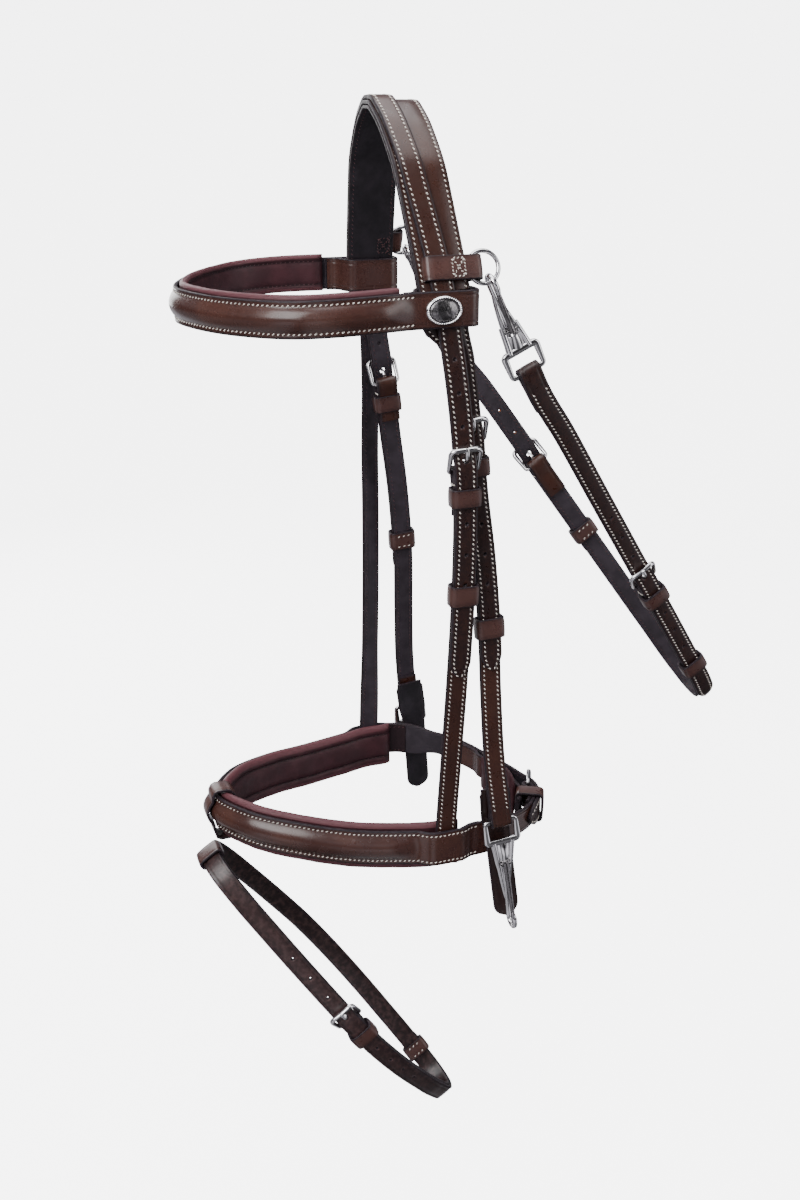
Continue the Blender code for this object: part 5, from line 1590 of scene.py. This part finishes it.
@dataclass
class Cheekpiece:
    """One cheek: the billet, the buckled strap, its keepers, the bit snap and the guard behind it."""

    head: Head
    side: Side
    heel: float = 0.092
    far_rise: float = 0.007
    runner: float = 0.134
    tail: float = 0.166
    guard_half: float = 0.01
    guard_top: float = 0.026
    guard_length: float = 0.083
    snap_reach: float = 0.073

    def build(self, shop: Workshop) -> None:
        """Makes every piece of the cheek."""
        word, route = self.side.word, self.head.cheek(self.side)
        body = "cheek_" + word
        heel = self.heel - (self.far_rise if self.side is Side.FAR else 0.0)
        Strap(f"billet_{word}", body, route, 0.004, heel + self.tail, "cheek_billet_" + word, lift=over_buckle(heel),
              half_at=self.half_at(route), shift_at=self.shift_at(route), tip=True,
              sewn=(0.0, STOCK.plain_tip)).build(shop, hole_row(heel, range(-1, 6)))
        Strap(f"cheek_{word}_lower", body, route, heel, route.length, "cheek_strap_" + word, fold_start=STOCK.bar,
              fold_end=STOCK.eye_wire, sewn=(0.018, 0.01)).build(shop)
        fasten(shop, "cheek", "_" + word, body, route, heel, self.runner, STOCK.broad_keeper)
        eye = route.place(route.length).moved(out=-STOCK.fold(STOCK.eye_wire))
        SnapHook("bit_snap_" + word, "bit_snap_" + word, "bit_gate_" + word, eye, self.snap_reach).build(shop)
        self.build_guard(shop, route)

    def span(self, route: Route, s: float) -> Pair:
        """The billet's front and rear edges along Y from the route, broad at the top as the crown is."""
        middle = 0.0823 * self.head.leg_drop
        at, share = route.point(s)[1], 1.0 - ease(s, 0.006, 0.036)
        front = (middle - STOCK.crown_width / 2 + STOCK.gap - at) * share - STOCK.width / 2 * (1.0 - share)
        rear = (middle + STOCK.crown_width / 2 - 0.0025 - at) * share + STOCK.width / 2 * (1.0 - share)
        return front, rear

    def half_at(self, route: Route) -> Measure:
        """Half the billet's width along the route."""
        return lambda s: (self.span(route, s)[1] - self.span(route, s)[0]) / 2

    def shift_at(self, route: Route) -> Measure:
        """How far across the route the billet's middle lies."""
        return lambda s: sum(self.span(route, s)) / 2 * copysign(1.0, route.place(s).across[1])

    def build_guard(self, shop: Workshop, route: Route) -> None:
        """Makes the leather tongue between the snap and the horse's cheek."""
        close = -2 * STOCK.lap - 0.0012
        clear = (-STOCK.fold(STOCK.eye_wire) - SnapHook.hook_radius - SnapHook.hook_wire - SnapHook.gate_rise
                 - STOCK.ease)
        half, last, ribbon = self.guard_half, route.place(route.length), Ribbon()
        for along in np.linspace(-self.guard_top, self.guard_length, 44):
            place = route.place(route.length + min(along, 0.0)).moved(along=max(along, 0.0))
            wide = half + 0.002 * (1.0 - ease(along, -0.004, 0.012))
            if along > self.guard_length - half:
                wide = half * max(sqrt(max(1.0 - ((along - self.guard_length + half) / half) ** 2, 0.0)), 0.12)
            if along < -self.guard_top + 0.003:
                wide -= 0.0012
            ribbon.add(place.moved(out=close + (clear - close) * ease(along, -self.guard_top, 0.01)), wide)
        ribbon.squared()
        piece = ribbon.skin(Profile(thickness=0.0022, inset=0.0016, groove=0.0002)).build(
            "guard_flap_" + self.side.word, [shop.finishes.guard, shop.finishes.edge, shop.finishes.lining])
        shop.fit(piece, "cheek_" + self.side.word, "leather", "guard_" + self.side.word)


def tie_bars(shop: Workshop, name: str, body: str, place: Place, half: float = STOCK.width / 2) -> None:
    """Sews the two short thread bars that close a fold beside its buckle.

    Args:
        shop: Where they are finished.
        name: The thread's name.
        body: The body that it moves with.
        place: The strap's place between the fold and the keeper.
        half: Half the strap's width.
    """
    skin, thick = Skin(), STOCK.thickness / 2
    knots = [(half - 0.0032, thick - 0.0001), (half - 0.0014, thick + 0.0004), (half + 0.0002, thick - 0.0002),
             (half + 0.0004, -0.001), (half + 0.0004, -STOCK.lap + 0.0002),
             (half + 0.0002, -STOCK.lap - thick + 0.0001), (half - 0.0014, -STOCK.lap - thick - 0.0004),
             (half - 0.0032, -STOCK.lap - thick + 0.0001)]
    for hand in (1.0, -1.0):
        skin.tube([place.at(0.0, hand * a, h) for a, h in knots], STOCK.tie_wire, sides=8)
    shop.fit(skin.build(name, [shop.finishes.cream], Sharp.THREAD), body, "leather")


def fasten(shop: Workshop, stem: str, tail: str, body: str, route: Route, heel: float, runner: float,
           length: float = STOCK.keeper_length, fixed: bool = True, ties: bool = True) -> None:
    """Makes a buckle with the ties and keepers beside it.

    Args:
        shop: Where they are finished.
        stem: The strap's name.
        tail: What its side adds to the name.
        body: The body that they move with.
        route: The strap's route.
        heel: Where the buckle's heel is, along the route.
        runner: How far past the heel the running keeper is.
        length: The running keeper's length.
        fixed: Whether there is a fixed keeper.
        ties: Whether there are ties.
    """
    if fixed:
        fixed_keeper(f"{stem}{tail}_fixed_keeper", body, route, heel + STOCK.keeper_at).build(shop)
    if ties:
        tie_bars(shop, f"{stem}{tail}_ties", body, route.place(heel + STOCK.tie_at))
    Buckle(f"{stem}_buckle{tail}", body, f"{stem}_tongue{tail}", route.place(heel)).build(shop)
    running_keeper(f"{stem}{tail}_loose_keeper", f"{stem}_runner{tail}", route, heel + runner, length).build(shop)


@dataclass
class Noseband:
    """The noseband with its hangers, padding, crank behind the chin and the loop that carries the flash."""

    head: Head
    rise: float = 0.0045
    pad_thickness: float = 0.007
    pad_above: float = 0.003
    pad_below: float = 0.007
    hanger_heel: float = 0.108
    hanger_runner: float = 0.087
    hanger_tail: float = 0.15
    far_turn: float = radians(21.0)
    crank_half: float = 0.01
    crank_heel: float = 0.06
    crank_tail: float = 0.04
    crank_under: float = 0.092
    link_length: float = 0.0125
    chin_height: float = 0.042
    chin_span: tuple = (0.008, 0.07)
    chin_thickness: float = 0.008

    def build(self, shop: Workshop) -> None:
        """Makes every piece of the noseband."""
        self.build_hangers(shop)
        head = self.head
        route, half, side = head.nose(), head.noseband_height / 2, head.nose_half
        ends = [route.nearest((hand * side, 0.024, head.nose_level)) for hand in (1.0, -1.0)]
        hangers = [route.nearest((hand * side, head.hanger_end - ahead, head.nose_level))
                   for hand, ahead in ((1.0, 0.0), (-1.0, head.far_hanger_ahead))]
        front = route.nearest((0.0, -head.nose_reach, head.nose_level))

        def swell(s: float) -> float:
            """How far the leather's middle is raised."""
            return self.rise * ease(s, ends[0] + 0.025, ends[0] + 0.055) * ease(-s, 0.025 - ends[1], 0.055 - ends[1])

        def half_at(s: float) -> float:
            """Half the leather's width, which is less behind the chin."""
            inside = ease(s, ends[0] - 0.045, ends[0] - 0.02) * ease(-s, -ends[1] - 0.045, -ends[1] - 0.02)
            return self.crank_half + (half - self.crank_half) * inside

        def lift(s: float) -> float:
            """How far the leather stands off, where a hanger lies under it."""
            away = min(abs(s - place) for place in hangers)
            return (STOCK.thickness + 4 * STOCK.gap) * (1.0 - ease(away, 0.01, 0.022))

        band = Strap("noseband_top", "noseband", route, self.crank_heel, route.length, "noseband_leather", lift=lift,
                     half_at=half_at, swell_at=swell, fold_start=STOCK.bar, fold_end=STOCK.eye_wire, profile=BAND,
                     stitched=False, gap=0.0028)
        band.build(shop)
        ribbon, before, _ = band.ribbon()
        spots = route.spots(self.crank_heel, route.length, band.gap)
        part = ribbon.cut([before + k for k, s in enumerate(spots) if ends[0] - 0.016 <= s <= ends[1] + 0.016])
        shop.thread("noseband_thread", "noseband", part.lines(BAND))
        Padding("noseband_roll", "noseband", "noseband_padding", route, ends[0], ends[1], half, self.pad_thickness,
                self.pad_above, self.pad_below, lambda s: 0.9 * swell(s), 0.0085,
                lambda s: exp(-((s - front) / 0.008) ** 2)).build(shop)
        patch = Profile(thickness=0.001, edge=0.0003, inset=0.0022, groove=0.0001, crown=0.0)
        for word, low, high in (("near", ends[0] - 0.0165, ends[0] - 0.0004),
                                ("far", ends[1] + 0.0004, ends[1] + 0.0165)):
            facing = Strap("noseband_facing_" + word, "noseband", route, low, high, profile=patch, stitched=False,
                           half_at=lambda s: half_at(s) - 0.0006, lift=lambda s: lift(s) - STOCK.thickness / 2 - 0.0006)
            piece = facing.build(shop)
            piece.data.materials.clear()
            for _ in Zone:
                piece.data.materials.append(shop.finishes.padding)
            lines = facing.ribbon()[0].lines(patch, True)
            shop.thread("noseband_facing_thread_" + word, "noseband", lines, INNER, False)
        self.build_flash_loop(shop, route, front)
        self.build_crank(shop, route)

    def build_hangers(self, shop: Workshop) -> None:
        """Makes the near hanger with its buckle, and the far hanger, which is one strap."""
        route, heel = self.head.hanger(Side.NEAR), self.hanger_heel
        Strap("sliphead_billet", "noseband", route, 0.0, heel + self.hanger_tail, "hanger_billet",
              lift=over_buckle(heel), tip=True, sewn=(0.0, STOCK.plain_tip)).build(shop, hole_row(heel, range(-3, 5)))
        Strap("hanger_near_lower", "noseband", route, heel, route.length, "hanger_near_strap", fold_start=STOCK.bar,
              sewn=(0.018, 0.0)).build(shop)
        fasten(shop, "hanger", "", "noseband", route, heel, self.hanger_runner, STOCK.broad_keeper)
        far = self.head.hanger(Side.FAR)

        def twist(s: float) -> float:
            """How far the far hanger is turned about its own length."""
            return -self.far_turn * ease(s, 0.03, 0.1) * ease(far.length - s, 0.03, 0.1)

        Strap("hanger_far", "noseband", far, 0.0, far.length, "hanger_far_strap", twist_at=twist).build(shop)

    def build_flash_loop(self, shop: Workshop, route: Route, front: float) -> None:
        """Makes the upright loop round the noseband's front."""
        half, out = self.head.noseband_height / 2, STOCK.thickness / 2 + 2 * STOCK.ease
        back = -STOCK.thickness / 2 - 2 * STOCK.ease - 1.12 * self.pad_thickness - STOCK.ease - 0.001
        low, high = -half - self.pad_above - STOCK.ease, half + self.pad_below + STOCK.ease
        outline = [(high - 0.001, back + 0.002), (high, back + 0.004), (high, out - 0.004),
                   (high - 0.0008, out - 0.002)]
        outline += [(share * half, out + self.rise * Profile.dome(share)) for share in np.linspace(1.0, -1.0, 15)]
        outline += [(low + 0.0008, out - 0.0015), (low, out - 0.003), (low, back + 0.004), (low + 0.001, back + 0.002),
                    (-half, back), (-0.4 * half, back), (0.4 * half, back), (half, back)]
        Keeper("flash_upright_loop", "noseband", route.place(front), back, out, "flash_carrier", length=0.016,
               outline=outline).build(shop)

    def build_crank(self, shop: Workshop, route: Route) -> None:
        """Makes the link, the strap that comes back through it, its buckle and keeper, and the chin pad."""
        heel, place, wire, skin = self.crank_heel, route.place(route.length), STOCK.eye_wire, Skin()
        outline = rounded(self.crank_half + STOCK.ease + 1.2 * wire, self.link_length, 2.0 * wire)
        skin.tube([place.at(v, a, -STOCK.fold(wire)) for a, v in outline], wire, closed=True, sides=14)
        shop.metal("square_link", skin, "noseband", "crank_link")
        shallow, deep = -2 * STOCK.fold(wire), -2 * STOCK.fold(STOCK.bar) - STOCK.lap - 2 * STOCK.ease

        def under(s: float) -> float:
            """How deep the strap's return lies under it."""
            return shallow + (deep - shallow) * ease(s, 0.016, heel - STOCK.buckle_length)

        Strap("crank_billet", "noseband", route, self.link_length, heel + self.crank_tail, "crank_strap",
              half=self.crank_half, lift=over_buckle(heel), fold_start=wire, tip=True,
              tab=self.crank_under - self.link_length, tab_level=under,
              sewn=(0.012, 0.003)).build(shop, hole_row(heel, (0,)))
        Buckle("crank_buckle", "noseband", "crank_tongue", route.place(heel), 2 * self.crank_half).build(shop)
        wall = STOCK.thickness / 2 + STOCK.ease
        Keeper("crank_fixed_keeper", "noseband", route.place(heel + STOCK.keeper_at), deep - wall, STOCK.lap + wall,
               "crank_keeper", half=self.crank_half + STOCK.ease).build(shop)
        self.build_chin_pad(shop, route, under)

    def build_chin_pad(self, shop: Workshop, route: Route, under: Measure) -> None:
        """Makes the chin pad: soft leather gathered in slanting tucks over foam."""
        (low, high), skin, rings = self.chin_span, Skin(), []
        for s in np.linspace(low, high, 64):
            place, share = route.place(s), abs(2 * (s - low) / (high - low) - 1.0)
            swell = max((1.0 - share**3.2) ** 0.5, 0.3)
            thick, ring = self.chin_thickness / 2 * swell, []
            for k in range(40):
                angle = 2 * pi * k / 40
                a = self.chin_height / 2 * (0.55 + 0.45 * swell) * cos(angle)
                tuck = abs(sin(pi * (s + copysign(1.0, a) * 0.55 * a) / 0.0105)) ** 0.6
                body = thick * (0.8 + 0.34 * tuck * abs(sin(angle)) ** 0.5)
                out = under(s) - STOCK.thickness / 2 - STOCK.ease - self.chin_thickness / 2 + body * sin(angle)
                ring.append(place.at(0.0, a * (1.0 - 0.03 * (1.0 - tuck)), out))
            rings.append(ring)
        skin.sleeve(rings)
        piece = skin.build("chin_cushion", [shop.finishes.padding], Sharp.PADDING)
        shop.fit(piece, "noseband", "padding", "chin_pad")


@dataclass
class Flash:
    """The flash strap, its loop under the noseband, its buckle and its keepers."""

    head: Head
    heel: float = 0.007
    runner: float = 0.235
    tail: float = 0.25
    loop_length: float = 0.016

    def build(self, shop: Workshop) -> None:
        """Makes every piece of the flash."""
        head, route, heel = self.head, self.head.flash(), self.heel
        again = route.nearest(route.point(heel), after=route.length / 3)
        front = route.nearest((0.0, -head.nose_reach - head.flash_ahead, head.nose_level - head.flash_below))
        strap = Strap("flash_long_strap", "flash", route, heel, heel + self.tail + again, "flash_strap",
                      lift=over_buckle(again), fold_start=STOCK.bar, tip=True, stitched=False)
        piece = strap.build(shop, hole_row(again, range(-3, 6)))
        # Both faces of the flash take its lighter leather, a painted sheen.
        piece.data.materials[0] = piece.data.materials[2] = shop.finishes.flash
        fasten(shop, "flash", "", "flash", route, heel, self.runner, ties=False)
        wall = STOCK.thickness / 2 + STOCK.ease + STOCK.gap
        Keeper("flash_strap_loop", "flash", route.place(front), -wall, wall, "flash_loop",
               length=self.loop_length).build(shop)


@dataclass
class Throatlatch:
    """The throatlatch: a snap and a billet on each side and the strap that both buckle to."""

    head: Head
    near: tuple = (0.222, 0.152, 0.105)
    far: tuple = (0.134, 0.098, 0.072)
    snap_reach: float = 0.056

    def build(self, shop: Workshop) -> None:
        """Makes every piece of the throatlatch."""
        route, body = self.head.throat(), "throatlatch"
        Strap("throat_middle", body, route, self.near[0], route.length - self.far[0], "throat_strap",
              fold_start=STOCK.bar, fold_end=STOCK.bar, sewn=(0.018, 0.018)).build(shop)
        fixed_keeper("throat_fixed_keeper", body, route, self.near[0] + STOCK.keeper_at).build(shop)
        for side, path, sizes, holes in ((Side.NEAR, route, self.near, range(-3, 5)),
                                         (Side.FAR, route.reversed(), self.far, range(-2, 4))):
            word, (heel, tail, keeper) = side.word, sizes
            SnapHook("throat_snap_" + word, body, "throat_gate_" + word, self.head.throat_snap(side),
                     self.snap_reach).build(shop)
            Strap(f"throat_{word}_billet", body, path, 0.0, heel + tail, "throat_billet_" + word,
                  lift=over_buckle(heel), fold_start=STOCK.eye_wire, tip=True, sewn=(0.014, STOCK.plain_tip),
                  raw=side is Side.FAR).build(shop, hole_row(heel, holes))
            fasten(shop, "throat", "_" + word, body, path, heel, keeper, fixed=False)


@dataclass
class Studio:
    """The pale sweep, the soft lights and the camera."""

    floor: float = -0.98
    eye: tuple = (0.895, -0.2932, 0.0203)
    azimuth: float = radians(71.5)
    pitch: float = radians(21.5)
    focal: float = 1330.0 / 1200.0 * 36.0
    air: tuple = ((0.0, 0.5), (0.2, 0.5), (0.27, 0.9), (0.38, 0.9), (0.46, 0.08), (0.52, 0.12), (0.6, 0.8),
                  (0.68, 0.8), (0.74, 0.25), (0.84, 0.35), (0.9, 0.95), (1.0, 0.95))
    stripes: tuple = ((0.0, 0.25), (0.14, 0.3), (0.2, 1.0), (0.32, 1.0), (0.37, 0.08), (0.43, 0.1), (0.48, 1.0),
                      (0.6, 1.0), (0.66, 0.14), (0.88, 0.14), (0.94, 1.0), (1.0, 1.0))
    air_strength: float = 1.15

    def axes(self) -> tuple[Array, Array, Array]:
        """The ways away from the camera, to its right and up, all level or upright."""
        look = np.array([-sin(self.azimuth), cos(self.azimuth), 0.0])
        right = np.array([cos(self.azimuth), sin(self.azimuth), 0.0])
        return look, right, np.array([0.0, 0.0, 1.0])

    def build(self, finishes: Finishes) -> None:
        """Sets up everything round the bridle."""
        self.build_sweep(finishes)
        self.build_lights()
        self.build_camera()

    def build_sweep(self, finishes: Finishes) -> None:
        """Makes the floor, which curves up into the wall behind."""
        skin, size, (look, right, up) = Skin(), 7.0, self.axes()
        line = [(-size, 0.0), (2.2, 0.0)]
        line += [(2.2 + 1.2 * sin(t), 1.2 * (1.0 - cos(t))) for t in np.linspace(0.1, pi / 2, 16)]
        line += [(3.4, 6.0), (3.45, 6.0), (3.45, -0.05), (-size, -0.05)]
        skin.sleeve([[look * d + up * (self.floor + h) + right * wide for d, h in line] for wide in (-size, size)])
        sweep = skin.build("studio_sweep", [finishes.paper], Sharp.PAPER)
        sweep.visible_glossy = sweep.visible_diffuse = False
        self.build_dome(finishes)

    def build_dome(self, finishes: Finishes) -> None:
        """Makes the pale wall all round, which takes no light from the bridle."""
        skin = Skin()
        skin.sleeve([[(wide * cos(t), wide * sin(t), h) for t in full_turn(48)]
                     for wide, h in ((6.8, self.floor - 0.02), (6.8, 3.5), (6.0, 5.5), (4.0, 7.0), (0.5, 7.6))])
        dome = skin.build("studio_dome", [finishes.paper], Sharp.THREAD)
        dome.visible_glossy = dome.visible_diffuse = dome.visible_shadow = False

    def build_lights(self) -> None:
        """Hangs the soft lights and the bright air round the bridle."""
        look, right, up = self.axes()
        middle = np.array([0.0, 0.0, -0.4])
        lights = (("key", -1.35 * look - 0.9 * right + 1.25 * up, 1.3, 1.3, 38.0),
                  ("fill", -0.7 * look + 1.7 * right + 0.7 * up, 0.8, 1.6, 9.0),
                  ("top", 0.1 * look + 0.1 * right + 1.9 * up, 1.6, 1.6, 26.0),
                  ("rear", 1.5 * look - 1.0 * right + 0.7 * up, 1.0, 1.6, 22.0))
        for name, away, wide, tall, power in lights:
            data = bpy.data.lights.new(name + "_light", "AREA")
            data.shape, data.size, data.size_y, data.energy = "RECTANGLE", wide, tall, power
            made = add_object(name + "_light", data)
            made.location = Vector(middle + away)
            made.rotation_euler = Vector(-away).to_track_quat("-Z", "Y").to_euler()
        self.build_air()

    @staticmethod
    def band(tree: bpy.types.NodeTree, value: Socket, stops: Sequence[Pair], tint: tuple) -> Socket:
        """Colours by a value from -1 to 1.

        Args:
            tree: The nodes that it is added to.
            value: The value.
            stops: Places from 0 to 1 with the brightness at each.
            tint: The colour of full brightness.

        Returns:
            The colour.
        """
        spread, ramp = tree.nodes.new("ShaderNodeMapRange"), tree.nodes.new("ShaderNodeValToRGB")
        spread.inputs["From Min"].default_value = -1.0
        tree.links.new(value, spread.inputs["Value"])
        tree.links.new(spread.outputs["Result"], ramp.inputs["Fac"])
        made = ramp.color_ramp.elements
        for at, bright in stops:
            stop = made.new(at) if at not in (0.0, 1.0) else made[0 if at == 0.0 else len(made) - 1]
            stop.color = (*[part * bright for part in tint], 1.0)
        return ramp.outputs["Color"]

    def build_air(self) -> None:
        """Sets the room's light: dark in bands by height and round about, so that polished metal has its contrast."""
        world = bpy.data.worlds.new("studio_air")
        world.use_nodes = True
        tree, nodes, links = world.node_tree, world.node_tree.nodes, world.node_tree.links
        where, split = nodes.new("ShaderNodeTexCoord"), nodes.new("ShaderNodeSeparateXYZ")
        turn, both = nodes.new("ShaderNodeVectorMath"), nodes.new("ShaderNodeMix")
        turn.operation, both.data_type, both.blend_type = "DOT_PRODUCT", "RGBA", "MULTIPLY"
        turn.inputs[1].default_value = tuple(self.axes()[1])
        both.inputs["Factor"].default_value = 1.0
        links.new(where.outputs["Generated"], split.inputs["Vector"])
        links.new(where.outputs["Generated"], turn.inputs[0])
        links.new(self.band(tree, split.outputs["Z"], self.air, (0.95, 0.93, 1.0)), both.inputs["A"])
        links.new(self.band(tree, turn.outputs["Value"], self.stripes, (1.0, 1.0, 1.0)), both.inputs["B"])
        links.new(both.outputs["Result"], nodes["Background"].inputs["Color"])
        nodes["Background"].inputs["Strength"].default_value = self.air_strength
        bpy.context.scene.world = world

    def build_camera(self) -> None:
        """Sets the camera at the photograph's angle."""
        data = bpy.data.cameras.new("studio_camera")
        data.sensor_fit, data.sensor_height, data.lens = "VERTICAL", 36.0, self.focal
        data.clip_start, data.clip_end = 0.01, 50.0
        made = add_object("studio_camera", data)
        look = Vector((-sin(self.azimuth) * cos(self.pitch), cos(self.azimuth) * cos(self.pitch), -sin(self.pitch)))
        made.location = self.eye
        made.rotation_euler = look.to_track_quat("-Z", "Y").to_euler()
        bpy.context.scene.camera = made


def main() -> None:
    """Builds the bridle, piece by piece, and the studio round it."""
    logging.basicConfig(level=logging.INFO, format="%(name)s: %(message)s")
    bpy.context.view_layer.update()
    head = Head()
    finishes = Finishes()
    shop = Workshop(finishes)
    Studio().build(finishes)
    Headpiece(head).build(shop)
    Browband(head).build(shop)
    for side in Side:
        Cheekpiece(head, side).build(shop)
    Noseband(head).build(shop)
    Flash(head).build(shop)
    Throatlatch(head).build(shop)


if __name__ == "__main__":
    main()
